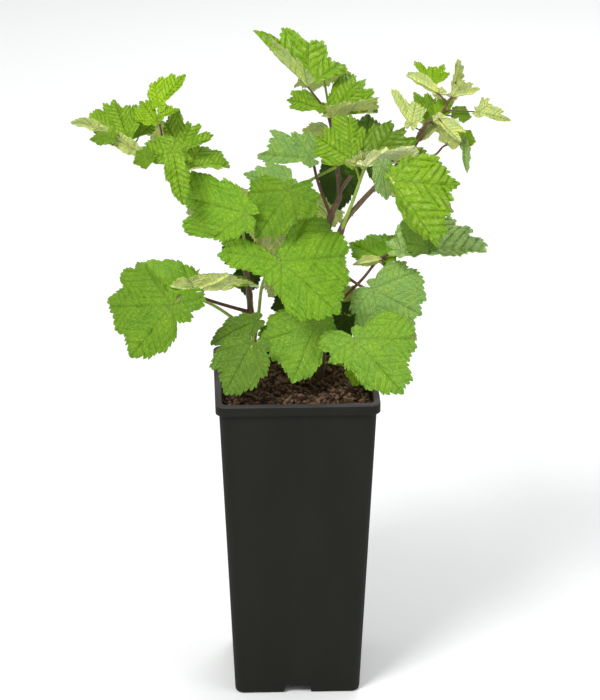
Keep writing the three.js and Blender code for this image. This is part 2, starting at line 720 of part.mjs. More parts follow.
    radius: [1.3, 0.6],
    leaves: [
      leaf([93.5, -12, 449], [-100, 40], 95, 19, {
        tone: "young",
        lobes: [[35, 1.22, 8], [12, 0.72, 16], [-12, 0.72, 16], [-32, 0.84, 14], [-58, 0.72, 16]],
      }),
      leaf([98, -14, 442], [80, 20], 35, 30, {
        tone: "pale", lobes: [[4, 1, 8], [14, 0.8, 10], [22, 0.46, 12], [-8, 0.5, 10]],
      }),
      leaf([109, -10, 448], [80, 20], 100, 18, {
        tone: "pale", lobes: [[-2, 1.4, 6], [8, 1, 8], [24, 0.6, 14], [-20, 0.4, 14]],
      }),
      leaf([107, -12, 439], [80, 20], 165, 22, {
        tone: "pale", lobes: [[-10, 1, 8], [-28, 0.92, 12], [-48, 0.85, 12], [-64, 0.6, 12]],
      }),
      leaf([92.5, -10, 422.5], [-100, 45], 122, 22, {
        lobes: [[0, 1.18, 10], [17, 0.88, 10], [32, 0.5, 12], [-20, 1.03, 10], [-38, 0.8, 10],
          [-58, 0.4, 12]],
      }),
      leaf([98.5, -14, 424], [-100, 45], 80, 14, {
        tone: "young", lobes: [[11, 1.44, 12], [-12, 1.38, 12], [-34, 0.8, 12], [34, 0.86, 12]],
      }),
      leaf([112, -12, 425], [-90, 40], 60, 9, { width: 1.1 }),
      leaf([78.5, -16, 421], [-90, 40], 75, 26, {
        tone: "pale",
        lobes: [[37, 1.24, 7], [25, 0.74, 8], [8, 0.72, 14], [-8, 0.67, 14], [-26, 0.63, 14],
          [-50, 0.43, 12]],
      }),
      leaf([125, -14, 428.5], [-90, 20], -15, 24, {
        tone: "pale",
        lobes: [[0, 0.97, 8], [18, 0.76, 12], [44, 0.5, 14], [70, 0.55, 10], [87, 0.48, 8]],
      }),
      leaf([97, -22, 427], [80, 0], 225, 25, {
        tone: "pale", lobes: [[0, 0.9, 10], [-20, 0.84, 10], [-33, 0.6, 10], [12, 0.5, 10]],
      }),
      leaf([95, -8, 418], [-90, 20], 222, 18, { fold: 30, shape: "oval", width: 0.5, tone: "pale" }),
    ],
  },
  leaf_tip_right_low: {
    cane: "right_cane", from: 397,
    stalk: [[94, -13, 397], [102, -13, 404], [112, -14, 406]], radius: [0.9, 0.6],
    leaves: [
      leaf([103, -16, 406], [80, -10], 120, 12, { shape: "fan", tone: "pale" }),
      leaf([115, -12, 407], [-90, 30], 55, 10, { tone: "young" }),
      leaf([115, -16, 408], [-120, 10], -82, 24, {
        fold: 20, lobes: [[5, 0.96, 8], [20, 0.66, 12], [42, 0.4, 16], [-15, 0.3, 16]],
      }),
    ],
  },
  leaf_right_behind: {
    cane: "right_cane", from: 262, stalk: [[27, 8, 268]], radius: [0.9, 0.8],
    leaves: [
      leaf([35, 9, 276], [-80, 40], 60, 20, { shape: "oval", width: 1.1, tone: "pale" }),
      leaf([34, 6, 272], [-90, 30], -40, 18, { tone: "dark" }),
    ],
  },
};

// Leaves on the far side follow one rule: a stalk of the given reach leaves its cane at the height
// `from`, along the heading and climbing by `climb` of its reach, and its single blade hangs outwards
// from the stalk's end.
const FAR_LEAVES = {
  far_low_middle: { cane: "middle_cane", from: 284, heading: 100, reach: 36, climb: 0.1, length: 46 },
  far_left_inner: { cane: "left_cane", from: 303, heading: 68, reach: 44, climb: 0.5, length: 46 },
  far_left_low: { cane: "left_cane", from: 256, heading: 153, reach: 60, climb: 0.35, length: 44 },
  far_left_high: { cane: "left_cane", from: 345, heading: 88, reach: 46, climb: 0.1, length: 38 },
  far_centre: { cane: "middle_cane", from: 338, heading: 110, reach: 50, climb: -0.15, length: 44 },
  far_middle_high: { cane: "middle_cane", from: 388, heading: 95, reach: 28, climb: 0.2, length: 34 },
  far_right_low: { cane: "right_cane", from: 266, heading: 52, reach: 66, climb: -0.12, length: 44 },
  far_right_high: { cane: "right_cane", from: 378, heading: 56, reach: 50, climb: -0.42, length: 38 },
  far_tip_middle: { cane: "middle_cane", from: 402, heading: 105, reach: 24, climb: 1.6, length: 28 },
  far_tip_left: { cane: "left_cane", from: 398, heading: 72, reach: 24, climb: 0.6, length: 23 },
  far_tip_right: { cane: "right_cane", from: 398, heading: 50, reach: 24, climb: 0.8, length: 22 },
};

const FAR_SEED = 4177;
const FAR = { rise: [34, 50], spin: [-106, -74], fold: [-12, 12], curl: [8, 26], width: [0.85, 1.05] };

// A repeatable run of numbers from 0 to 1.
function seededRandom(seed) {
  let state = seed;
  return () => {
    state = (state * 48271) % 2147483647;
    return state / 2147483647;
  };
}

function farSprays() {
  const random = seededRandom(FAR_SEED);
  const pick = ([low, high]) => low + (high - low) * random();
  const sprays = {};
  for (const [name, far] of Object.entries(FAR_LEAVES)) {
    const start = caneAtHeight(CANES[far.cane], far.from);
    const heading = THREE.MathUtils.degToRad(far.heading);
    const along = (share, lift) => [
      start.x + far.reach * share * Math.cos(heading),
      start.y + far.reach * share * Math.sin(heading),
      start.z + far.reach * (share * far.climb + lift),
    ];
    const rise = pick(FAR.rise);
    const spin = pick(FAR.spin);
    const form = { fold: pick(FAR.fold), curl: pick(FAR.curl), width: pick(FAR.width) };
    sprays[name] = {
      cane: far.cane,
      from: far.from,
      stalk: [along(0.5, 0.08), along(0.92, 0.02)],
      radius: far.length > SMALL_LEAF ? [1.2, 0.9] : [0.9, 0.7],
      leaves: [leaf(along(1, 0), [far.heading, rise], spin, far.length, form)],
    };
  }
  return sprays;
}

// ---------------------------------------------------------------- assembly

const FORK_SAMPLES = 40; // points compared along the main stalk
const FORK_DROP = 0.5; // of the distance from the stalk to the leaf
const FORK_LOWEST = 0.25; // of the main stalk's length
const SIDE_STALK = { foot: 0.9, end: 0.6 }; // foot: share of the main stalk's end; end: radius

const COLOURS = {
  pot: 0x2d2e29,
  soil: 0x3a281c,
  cane: 0x7a4a33,
  mature: 0x5f9a2e,
  dark: 0x3f6f24,
  young: 0x8fbf3a,
  pale: 0xb9c98a,
};

function material(colour, roughness = 0.6) {
  return new THREE.MeshStandardMaterial({ color: colour, roughness, metalness: 0 });
}

function makeSpray(spray) {
  const cane = CANES[spray.cane];
  const single = spray.leaves.length === 1;
  const points = [caneAtHeight(cane, spray.from), ...spray.stalk.map(vector)];
  if (single) {
    points.push(...bladeRoot(spray.leaves[0]));
  }
  const stalk = smoothCurve(points);
  let solid = makeStalk(points, spray.radius);
  for (const blade of spray.leaves) {
    solid = solid.add(makeBlade(blade));
    if (!single) {
      const side = [forkTo(stalk, blade.base), ...bladeRoot(blade)];
      solid = solid.add(makeStalk(side, [SIDE_STALK.foot * spray.radius[1], SIDE_STALK.end]));
    }
  }
  return solid.subtract(makeSleeve(cane));
}

// The end of a leaf's stalk, sunk into its blade along the midrib.
function bladeRoot(blade) {
  return [blade.base, bladePoint(blade, ROOT_DEPTH * blade.length, 0, 0)];
}

// Where the side stalk to a leaf leaves the main stalk: a little below the nearest point.
function forkTo(stalk, base) {
  const samples = stalk.getPoints(FORK_SAMPLES);
  const distances = samples.map((point) => point.distanceTo(base));
  const nearest = distances.indexOf(Math.min(...distances));
  const back = Math.round((FORK_SAMPLES * FORK_DROP * distances[nearest]) / stalk.getLength());
  return samples[Math.max(Math.round(FORK_SAMPLES * FORK_LOWEST), nearest - back)];
}

const plant = new THREE.Group();
plant.add(meshOf("pot", makePot(), material(COLOURS.pot, 0.5)));
plant.add(meshOf("soil", makeSoil(), material(COLOURS.soil, 0.95)));

for (const [name, cane] of Object.entries(CANES)) {
  const solid = makeCane(cane);
  const rooted = cane.footZ ? solid : solid.subtract(makeSleeve(CANES.middle_cane));
  plant.add(meshOf(name, rooted, material(COLOURS.cane)));
}
for (const [name, spray] of Object.entries({ ...SPRAYS, ...farSprays() })) {
  plant.add(meshOf(name, makeSpray(spray), material(COLOURS[spray.leaves[0].tone])));
}

export default plant;
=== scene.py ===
"""Looks of the potted raspberry cane: canes with bark, leaf stalks, toothed and quilted blades, soil and pot.

The leaves grow by the rule of the part's source, written again here and carried on to teeth, veins and
quilting. Lengths are in millimetres, angles in degrees, +X right, +Y back, +Z up; meshes are in metres.
"""
import json
import math

import bpy
import numpy as np
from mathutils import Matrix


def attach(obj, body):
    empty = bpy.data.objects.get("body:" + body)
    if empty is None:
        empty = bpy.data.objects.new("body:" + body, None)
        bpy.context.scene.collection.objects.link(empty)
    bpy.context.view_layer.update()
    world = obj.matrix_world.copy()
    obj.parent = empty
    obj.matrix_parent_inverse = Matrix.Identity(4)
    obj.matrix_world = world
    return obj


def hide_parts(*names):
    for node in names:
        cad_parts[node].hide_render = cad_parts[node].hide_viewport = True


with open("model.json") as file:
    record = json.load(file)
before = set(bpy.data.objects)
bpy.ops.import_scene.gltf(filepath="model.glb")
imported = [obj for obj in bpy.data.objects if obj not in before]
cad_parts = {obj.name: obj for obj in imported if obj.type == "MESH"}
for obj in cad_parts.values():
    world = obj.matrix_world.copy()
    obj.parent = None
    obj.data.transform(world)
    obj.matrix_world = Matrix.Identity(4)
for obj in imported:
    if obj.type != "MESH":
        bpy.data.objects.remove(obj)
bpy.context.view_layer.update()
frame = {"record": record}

MM = 0.001
BODY = "root"
SLOTS = {part["node"]: part["material_slot"] for part in frame["record"]["subparts"]}

# ---------------------------------------------------------------- camera, light and floor

CAMERA = {"target": (0, 0, 250), "distance": 2400, "elevation": 22.1, "azimuth": -2.1, "lens": 174.7}
CAMERA_SHIFT = (4.6 / 700, -1.5 / 700)  # pixels over the height of the picture
LIGHTS = {  # place and width in metres, and power
    "key_light": ((-0.9, -1.2, 2.0), 0.8, 39),
    "fill_light": ((1.5, -0.9, 1.1), 1.4, 9),
    "back_light": ((0.4, 1.5, 1.5), 1.2, 16),
}
LIT_POINT = (0, 0, 0.3)
SKY = {"Color": (0.95, 0.98, 1.0, 1), "Strength": 0.58}
FLOOR_HALF = 4  # metres
FLOOR_COLOUR = (0.86, 0.86, 0.85)

scene = bpy.context.scene


def link(name, data):
    obj = bpy.data.objects.new(name, data)
    scene.collection.objects.link(obj)
    return obj


def aim(obj, target):
    x, y, z = np.array(target) - np.array(obj.location)
    obj.rotation_euler = (math.atan2(math.hypot(x, y), -z), 0, math.atan2(-x, y))


def make_camera():
    elevation, azimuth = np.radians([CAMERA["elevation"], CAMERA["azimuth"]])
    away = np.array([
        math.cos(elevation) * math.sin(azimuth),
        -math.cos(elevation) * math.cos(azimuth),
        math.sin(elevation),
    ])
    target = np.array(CAMERA["target"]) * MM
    data = bpy.data.cameras.new("camera")
    data.lens = CAMERA["lens"]
    data.sensor_width = 36
    data.shift_x, data.shift_y = CAMERA_SHIFT
    data.clip_start = 0.05
    scene.camera = link("camera", data)
    scene.camera.location = target + away * CAMERA["distance"] * MM
    aim(scene.camera, target)


def make_lights():
    scene.view_settings.view_transform = "Standard"
    scene.world = bpy.data.worlds.new("studio")
    scene.world.use_nodes = True
    for name, value in SKY.items():
        scene.world.node_tree.nodes["Background"].inputs[name].default_value = value
    for name, (place, width, power) in LIGHTS.items():
        data = bpy.data.lights.new(name, "AREA")
        data.shape = "DISK"
        data.size = width
        data.energy = power
        light = link(name, data)
        light.location = place
        aim(light, LIT_POINT)


def make_floor():
    mesh = bpy.data.meshes.new("floor")
    corners = [(-1, -1), (1, -1), (1, 1), (-1, 1)]
    mesh.from_pydata([(x * FLOOR_HALF, y * FLOOR_HALF, 0) for x, y in corners], [], [(0, 1, 2, 3)])
    mesh.materials.append(Material("floor").surface(FLOOR_COLOUR, 0.9))
    link("floor", mesh)


# ---------------------------------------------------------------- meshes


class Batch:
    """Triangles of one joined mesh: points in millimetres, map points, faces and a material for each face."""

    def __init__(self):
        self.points, self.faces, self.uvs, self.materials = [], [], [], []
        self.count = 0

    def add(self, points, faces, uv=None, materials=0):
        """Takes one material number for all faces, or one for each."""
        self.points.append(points)
        self.faces.append(np.asarray(faces, np.int64) + self.count)
        self.uvs.append(np.zeros((len(points), 2)) if uv is None else uv)
        self.materials.append(np.broadcast_to(materials, len(faces)))
        self.count += len(points)

    def triangles(self):
        return sum(len(faces) for faces in self.faces)

    def build(self, name, materials, slot, nodes=(), sharp=50):
        points = np.concatenate(self.points) * MM
        faces = np.concatenate(self.faces)
        mesh = bpy.data.meshes.new(name)
        mesh.vertices.add(len(points))
        mesh.loops.add(faces.size)
        mesh.polygons.add(len(faces))
        for part, field, values in (
            (mesh.vertices, "co", points.astype(np.float32)),
            (mesh.loops, "vertex_index", faces.astype(np.int32)),
            (mesh.polygons, "loop_start", np.arange(0, faces.size, 3, dtype=np.int32)),
            (mesh.polygons, "material_index", np.concatenate(self.materials).astype(np.int32)),
            (mesh.polygons, "use_smooth", np.ones(len(faces), bool)),
        ):
            part.foreach_set(field, values.ravel())
        for material in materials:
            mesh.materials.append(material)
        uv = np.concatenate(self.uvs)
        if uv.any():
            layer = mesh.uv_layers.new(name="OFBake")
            layer.data.foreach_set("uv", uv[faces.ravel()].astype(np.float32).ravel())
        mesh.update(calc_edges=True)
        mesh.validate()
        mesh.set_sharp_from_angle(angle=math.radians(sharp))
        piece = link(name, mesh)
        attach(piece, BODY)
        if nodes:
            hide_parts(*nodes)
        return piece


def triangles(*corners):
    """Faces from the numbers of their corners; each corner is a run of numbers, or one for all."""
    return np.stack(np.broadcast_arrays(*corners), 1)


def quads(a, b, c, d):
    return np.vstack([triangles(a, b, c), triangles(a, c, d)])


def bands(count, sides):
    """Faces between rings that follow one another."""
    side = np.arange(sides)
    after = (side + 1) % sides
    return np.vstack([quads(row + side, row + after, row + after + sides, row + side + sides)
                      for row in range(0, (count - 1) * sides, sides)])


def lofted(rings, tip=None):
    """Points and faces over rings with equally many points; it closes them at their middles, or at a tip."""
    sides = len(rings[0])
    side = np.arange(sides)
    after = (side + 1) % sides
    top = (len(rings) - 1) * sides
    foot_point, tip_point = top + sides, top + sides + 1
    tip = np.mean(rings[-1], axis=0) if tip is None else tip
    points = np.vstack([*rings, np.mean(rings[0], axis=0), tip])
    return points, np.vstack([
        bands(len(rings), sides),
        triangles(foot_point, after, side),
        triangles(tip_point, top + side, top + after),
    ])


def normalised(vectors):
    vectors = np.asarray(vectors, float)
    return vectors / np.maximum(np.linalg.norm(vectors, axis=-1, keepdims=True), 1e-12)


def vertex_normals(points, faces):
    a, b, c = (points[faces[:, k]] for k in range(3))
    across = np.cross(b - a, c - a)
    total = np.zeros_like(points)
    for k in range(3):
        for axis in range(3):
            total[:, axis] += np.bincount(faces[:, k], across[:, axis], len(points))
    return normalised(total)


def turned(points, angle, start, end):
    """Points turned by an angle in radians, from the start axis towards the end axis."""
    result = np.array(points, float)
    result[:, start] = points[:, start] * math.cos(angle) - points[:, end] * math.sin(angle)
    result[:, end] = points[:, start] * math.sin(angle) + points[:, end] * math.cos(angle)
    return result


def all_round(sides):
    return np.arange(sides) * 2 * math.pi / sides


def ring_of(angles, start, end):
    """Points about zero, at these angles from the start direction towards the end direction."""
    return np.multiply.outer(np.cos(angles), start) + np.multiply.outer(np.sin(angles), end)


def smoothstep(x):
    x = np.clip(x, 0, 1)
    return x * x * (3 - 2 * x)


class Curve:
    """A uniform Catmull-Rom curve through points, as in the part's source."""

    def __init__(self, points):
        points = np.asarray(points, float)
        self.points = np.vstack([2 * points[0] - points[1], points, 2 * points[-1] - points[-2]])
        self.spans = len(points) - 1

    def at(self, t):
        place = np.clip(np.asarray(t, float), 0, 1) * self.spans
        span = np.minimum(place.astype(int), self.spans - 1)
        w = (place - span)[..., None]
        p0, p1, p2, p3 = (self.points[span + k] for k in range(4))
        v0, v1 = (p2 - p0) / 2, (p3 - p1) / 2
        return (2 * p1 - 2 * p2 + v0 + v1) * w**3 + (3 * p2 - 3 * p1 - 2 * v0 - v1) * w**2 + v0 * w + p1

    def length(self):
        samples = self.at(np.linspace(0, 1, 200))
        return float(np.linalg.norm(np.diff(samples, axis=0), axis=1).sum())


# A tube's rounded tip, as shares of its radius there.
END_RING = 0.6
END_RING_AHEAD = 0.7
END_POINT_AHEAD = 0.25


def tube(curve, step, sides, radius_at, level=None):
    """A round limb with a rounded tip. radius_at(t, angles) is its radius; level is where its foot is cut."""
    t = np.linspace(0, 1, max(4, int(curve.length() / step)) + 1)
    centres = curve.at(t)
    along = normalised(np.gradient(centres, axis=0))
    angles = all_round(sides)
    across = np.array([1.0, 0, 0] if abs(along[0, 0]) < 0.7 else [0, 1.0, 0])
    rings = []
    for share, centre, ahead in zip(t, centres, along):
        across = normalised(across - ahead * across.dot(ahead))
        radius = radius_at(share, angles)[:, None]
        rings.append(centre + radius * ring_of(angles, across, np.cross(ahead, across)))
    if level is not None:
        rings[0] += along[0] * ((level - rings[0][:, 2]) / along[0, 2])[:, None]
    end = ahead * radius.mean()
    rings.append(centre + (rings[-1] - centre) * END_RING + end * END_RING_AHEAD)
    return lofted(rings, rings[-1].mean(0) + end * END_POINT_AHEAD)


# ---------------------------------------------------------------- materials


def srgb(red, green, blue):
    """A colour's linear light from its values of 0 to 255."""
    shares = [value / 255 for value in (red, green, blue)]
    return tuple(share / 12.92 if share <= 0.04045 else ((share + 0.055) / 1.055) ** 2.4 for share in shares)


def shade(colour, factor):
    """A colour times one number, or times one for each channel."""
    return tuple(np.multiply(colour, factor))


def math_node(operation, swapped=False):
    """A method that puts a value and another one, or a number, into a math node."""
    def method(value, other):
        return value.material.math(operation, *((other, value) if swapped else (value, other)))
    return method


class Value:
    """What a node puts out. Sums and products of values are written as with numbers."""

    def __init__(self, material, socket):
        self.material, self.socket = material, socket

    __add__ = __radd__ = math_node("ADD")
    __mul__ = __rmul__ = math_node("MULTIPLY")
    __sub__ = math_node("SUBTRACT")
    __rsub__ = math_node("SUBTRACT", swapped=True)
    __truediv__ = math_node("DIVIDE")
    __gt__ = math_node("GREATER_THAN")

    def __abs__(self):
        return self.material.math("ABSOLUTE", self)


class Material:
    """A Principled material and short calls that add nodes to it. They take values, numbers and colours."""

    def __init__(self, name):
        self.block = bpy.data.materials.new(name)
        self.block.use_nodes = True
        self.tree = self.block.node_tree

    def wire(self, socket, value):
        if isinstance(value, Value):
            self.tree.links.new(value.socket, socket)
        else:
            socket.default_value = (*value, 1) if isinstance(value, tuple) else value

    def node(self, kind, inputs=None, output=0, **settings):
        """Adds a node. Its settings come first, because its sockets depend on them."""
        node = self.tree.nodes.new("ShaderNode" + kind)
        for name, setting in settings.items():
            setattr(node, name, setting)
        for socket, value in (inputs or {}).items():
            self.wire(node.inputs[socket], value)
        return Value(self, node.outputs[output])

    def math(self, operation, *values, clamp=False):
        return self.node("Math", dict(enumerate(values)), operation=operation, use_clamp=clamp)

    def fade(self, value, width):
        """1 at zero, 0 from that width on."""
        return self.math("SUBTRACT", 1.0, value / width, clamp=True)

    def ramp(self, value, low, high):
        """0 at low and 1 at high."""
        return self.node("MapRange", {"Value": value, "From Min": low, "From Max": high}, "Result")

    def mix(self, factor, a, b):
        return self.node("Mix", {0: factor, 6: a, 7: b}, 2, data_type="RGBA")

    def place(self, across=1, up=1):
        """Coordinates fixed to the piece, in millimetres times these factors."""
        scale = [across / MM, across / MM, up / MM]
        coordinates = self.node("TexCoord", output="Object")
        return self.node("VectorMath", {0: coordinates, 1: scale}, operation="MULTIPLY")

    def noise(self, vector, scale, detail=3.0, rough=0.55, distort=0.0):
        inputs = {"Vector": vector, "Scale": scale, "Detail": detail, "Roughness": rough}
        return self.node("TexNoise", {**inputs, "Distortion": distort}, "Fac")

    def cells(self, vector, scale, feature="DISTANCE_TO_EDGE"):
        return self.node("TexVoronoi", {"Vector": vector, "Scale": scale}, "Distance", feature=feature)

    def surface(self, colour, rough, relief=None, depth=0.0, strength=1.0, gloss=0.5):
        """Fills in the shader; relief is bumped over a depth in millimetres. Returns Blender's material."""
        inputs = {"Base Color": colour, "Roughness": rough, "Specular IOR Level": gloss}
        if relief is not None:
            bump = {"Height": relief, "Distance": depth * MM, "Strength": strength}
            inputs["Normal"] = self.node("Bump", bump, "Normal")
        for name, value in inputs.items():
            self.wire(self.tree.nodes["Principled BSDF"].inputs[name], value)
        return self.block


def stalk_material(name, base, tip):
    m = Material(name)
    streak = m.noise(m.place(up=0.25), 1.4, 4)
    fine = m.noise(m.place(), 4.5, 2)
    tone = m.mix(m.ramp(streak, 0.35, 0.65), srgb(*base), srgb(*tip))
    tone = m.mix(fine * 0.35, tone, shade(srgb(*base), 0.55))
    return m.surface(tone, fine * 0.25 + 0.35, fine, 0.12, 0.6)


def bark_material():
    m = Material("cane_bark")
    streak = m.noise(m.place(up=0.12), 1.1, 5, 0.62)
    bloom = m.noise(m.place(), 0.09, 3)
    lenticel = m.cells(m.place(up=0.45), 0.55, "F1")
    tone = m.mix(m.ramp(streak, 0.3, 0.7), srgb(54, 38, 29), srgb(114, 87, 62))
    tone = m.mix(m.ramp(bloom, 0.45, 0.7) * 0.5, tone, srgb(128, 112, 70))
    tone = m.mix(m.ramp(lenticel, 0.16, 0.08) * 0.6, tone, srgb(176, 146, 112))
    return m.surface(tone, streak * 0.3 + 0.35, streak, 0.35, 0.8)


def plastic_material(name, low, high, worn, pit):
    m = Material(name)
    fine = m.noise(m.place(), 2.6, 3, 0.6)
    cloud = m.noise(m.place(up=0.35), 0.035, 4, 0.6)
    scuff = m.noise(m.place(0.25, 2.2), 0.35, 5, 0.7)
    tone = m.mix(m.ramp(cloud, 0.3, 0.7), srgb(*low), srgb(*high))
    tone = m.mix(m.ramp(scuff, 0.62, 0.8) * 0.25, tone, srgb(*worn))
    tone = m.mix(fine * 0.16, tone, srgb(*pit))
    return m.surface(tone, cloud * 0.2 + 0.5, fine, 0.05, 0.5, gloss=0.14)


def soil_material(name, dark, light):
    m = Material(name)
    fibre = m.noise(m.place(), 0.55, 6, 0.7, 1.2)
    grain = m.noise(m.place(), 2.8, 3, 0.6)
    tone = m.mix(m.ramp(fibre, 0.35, 0.68), srgb(*dark), srgb(*light))
    tone = m.mix(m.ramp(grain, 0.5, 0.75) * 0.4, tone, shade(srgb(*light), 1.7))
    return m.surface(tone, grain * 0.15 + 0.8, fibre + grain, 0.8, 0.9, gloss=0.2)


# ---------------------------------------------------------------- veins of the standard leaf

# Coordinates are shares of the leaf's length. The main veins leave its base at these angles from the midrib.
VEIN_ANGLES = (0, 50, 100, 148)
VEINS = [math.radians(angle) for angle in VEIN_ANGLES]
SIDE_VEIN_PITCH = 0.105
SIDE_VEIN_SLANT = 0.6
SIDE_VEIN_BEND = 0.55
SIDE_VEIN_WIDTH = 0.05  # of the pitch
FLANK_SHADE_WIDTH = {"plain": 0.16, "crisp": 0.2}  # of the pitch: the width of the painted shade beside the side veins
MAIN_VEIN_WIDTH, MAIN_VEIN_TAPER = 0.0085, 0.0065
VEIN_WARP = 0.11  # how far uneven growth shifts the side veins
NET = {"rungs": 2.6, "rows": 27.0, "warp": 1.6, "line": 0.22}  # of small veins between two side veins
GROOVE_WIDTH = 0.022  # of a main vein's groove
QUILT_START = 0.05  # from the main veins, to where the quilting has its full height
QUILT_FADE = (0.75, 0.3, 0.6)  # towards the margin: from this reach, over this much, by this share
MAP_SPAN = 2.12  # the width of the standard leaf's square map

TONES = {  # colours of the blade and of its veins
    "bright": ((117, 164, 24), (172, 202, 96)),
    "green": ((120, 168, 26), (172, 202, 96)),
    "even": ((108, 151, 20), (160, 190, 88)),
    # A lighter green: partly the leaves' own tone, partly painted light that offsets the shadow of the leaf
    # above them.
    "light": ((122, 167, 42), (176, 204, 108)),
    "deep": ((98, 134, 34), (146, 176, 84)),
    # A blue-grey green: partly the leaves' own tone, partly a painted sheen of the sky.
    "blue": ((134, 174, 80), (184, 206, 132)),
    # A paler, greyer green: the leaves' own green under a painted sheen.
    "sheen": ((156, 192, 102), (196, 216, 146)),
    "crisp": ((127, 171, 22), (174, 202, 90)),
    # A darker copy of the crisp green: painted shade.
    "crisp_in_shade": ((106, 142, 24), (150, 178, 84)),
    # For leaves in the shade behind the others: their green darkened as painted shade.
    "dark": ((64, 92, 18), (108, 130, 54)),
    "young": ((150, 196, 10), (196, 220, 90)),
    # Here and in the undersides below, the veins are darker than the blade: painted shadow beside the raised
    # ribs.
    "pale": ((206, 222, 128), (156, 176, 78)),
    # Undersides are pale green, and lightened further: painted light in place of the light that shines
    # through the blade.
    "underside": ((220, 232, 140), (158, 178, 82)),
    # A darker copy of the underside: painted shade.
    "underside_painted_shade": ((166, 186, 104), (120, 146, 62)),
    # A lighter copy of the underside: painted light on an underside turned away from the lamps.
    "underside_painted_light": ((238, 245, 180), (196, 212, 126)),
}
PLAIN_FLANK_SHADE = 0.24  # how dark the painted shade in the grooves beside the side veins is; crisp tones have their own below
CRISP_FLANK_SHADE = {"crisp": 0.4, "crisp_in_shade": 0.46, "sheen": 0.45, "young": 0.6, "pale": 0.36}
LAYERS = {  # how strongly each layer of the look shows, on a blade's upper face and underneath
    "grain": (0.45, 0.25), "net": (0.34, 0.3), "side": (0.35, 0.7), "main": (0.55, 0.9),
    "rough": (0.45, 0.5), "vein_height": (-0.6, 0.6), "cell_height": (1, -1),
}
COOL_PATCH = (0.7, 0.8, 1.15)
WARM_PATCH = (1.3, 1.17, 0.85)
# Crisp leaves get a painted highlight, broken into spots, on the quilting between their side veins.
CREST_HIGHLIGHT = (206, 218, 138)
CREST_HIGHLIGHT_SHARE = 0.27


def nearest_vein(angle):
    """The main vein nearest to an angle from the midrib, both in radians. Takes arrays and node values."""
    return sum((angle > (low + high) / 2) * (high - low) for low, high in zip(VEINS, VEINS[1:]))


def side_vein_phase(along, across, left):
    """Runs up by one from side vein to side vein; those to the left of a main vein stand half a step on."""
    lean = across * (across * SIDE_VEIN_BEND + SIDE_VEIN_SLANT)
    return (along - lean) / SIDE_VEIN_PITCH + left * 0.5


def leaf_material(name, base, vein):
    """Blade with main veins, side veins and a net of small ones, laid out on the standard leaf's map."""
    under, crisp = name.startswith("underside"), name in CRISP_FLANK_SHADE
    share = {layer: pair[under] for layer, pair in LAYERS.items()}
    base, vein = srgb(*base), srgb(*vein)
    dark = shade(base, 0.5)
    m = Material("leaf_" + name)
    flat = m.node("UVMap", output="UV", uv_map="OFBake")
    x, y = [m.node("SeparateXYZ", {0: flat}, axis) * MAP_SPAN - MAP_SPAN / 2 for axis in "XY"]
    radius = m.math("SQRT", x * x + y * y)
    angle = m.math("ARCTAN2", abs(y), x)
    nearest = nearest_vein(angle)
    turn = angle - nearest
    along, signed = radius * m.math("COSINE", turn), radius * m.math("SINE", turn)
    across = abs(signed)
    main = m.fade(across, MAIN_VEIN_WIDTH - along * MAIN_VEIN_TAPER)
    warp = (m.noise(flat, 7, 3, 0.6) - 0.5) * VEIN_WARP
    phase = side_vein_phase(along + warp, across, signed > 0.0)
    off = abs(m.math("FRACT", phase) - 0.5)
    side = m.fade(off, SIDE_VEIN_WIDTH)
    rows = signed * NET["rows"] + m.noise(flat, 12, 2) * NET["warp"]
    ladder = m.node("CombineXYZ", {"X": phase * NET["rungs"], "Y": rows, "Z": nearest})
    net = m.ramp(m.cells(ladder, 1.0), 0.0, NET["line"])
    grain = m.noise(flat, 70, 3, 0.65)

    blotch = m.ramp(m.noise(flat, 6, 4, 0.6), 0.34, 0.66)
    tone = m.mix(blotch, shade(base, COOL_PATCH), shade(base, WARM_PATCH))
    tone = m.mix(share["grain"], tone, m.mix(m.ramp(grain, 0.3, 0.7), dark, shade(base, 1.6)))
    tone = m.mix((1.0 - net) * share["net"], tone, vein if under else dark)
    if not under:
        # painted shade in the grooves on both flanks of each side vein, on the upper face
        flank_shade = m.fade(off, FLANK_SHADE_WIDTH["crisp" if crisp else "plain"])
        tone = m.mix(flank_shade * CRISP_FLANK_SHADE.get(name, PLAIN_FLANK_SHADE), tone, shade(base, 0.42))
    if crisp:
        # painted highlight on the bulges between the side veins
        crest_highlight = m.ramp(off, 0.2, 0.45) * m.ramp(m.noise(flat, 19, 2, 0.6), 0.47, 0.66)
        tone = m.mix(crest_highlight * CREST_HIGHLIGHT_SHARE, tone, srgb(*CREST_HIGHLIGHT))
    tone = m.mix(side * share["side"], tone, vein)
    tone = m.mix(main * share["main"], tone, vein)
    height = (side * 0.7 + main) * share["vein_height"] + (grain * 0.3 + net * 0.42) * share["cell_height"]
    return m.surface(tone, grain * 0.2 + share["rough"], height, 0.7, gloss=0.28)


def vein_relief(x, y):
    """Depth of the vein grooves and height of the quilting on the standard leaf, both from 0 to 1."""
    radius, angle = np.hypot(x, y), np.arctan2(np.abs(y), x)
    turn = angle - nearest_vein(angle)
    along, signed = radius * np.cos(turn), radius * np.sin(turn)
    across = np.abs(signed)
    groove = np.exp(-(across / GROOVE_WIDTH) ** 2)
    off = np.abs(side_vein_phase(along, across, signed > 0) % 1 - 0.5) * 2
    start, run, share = QUILT_FADE
    fade = 1 - share * smoothstep((radius - start) / run)
    return groove, np.sqrt(off) * smoothstep(across / QUILT_START) * fade


# ---------------------------------------------------------------- leaf blades


def mirrored(*lobes):
    return [(side * at, reach) for at, reach in lobes for side in ((1, -1) if at else (1,))]


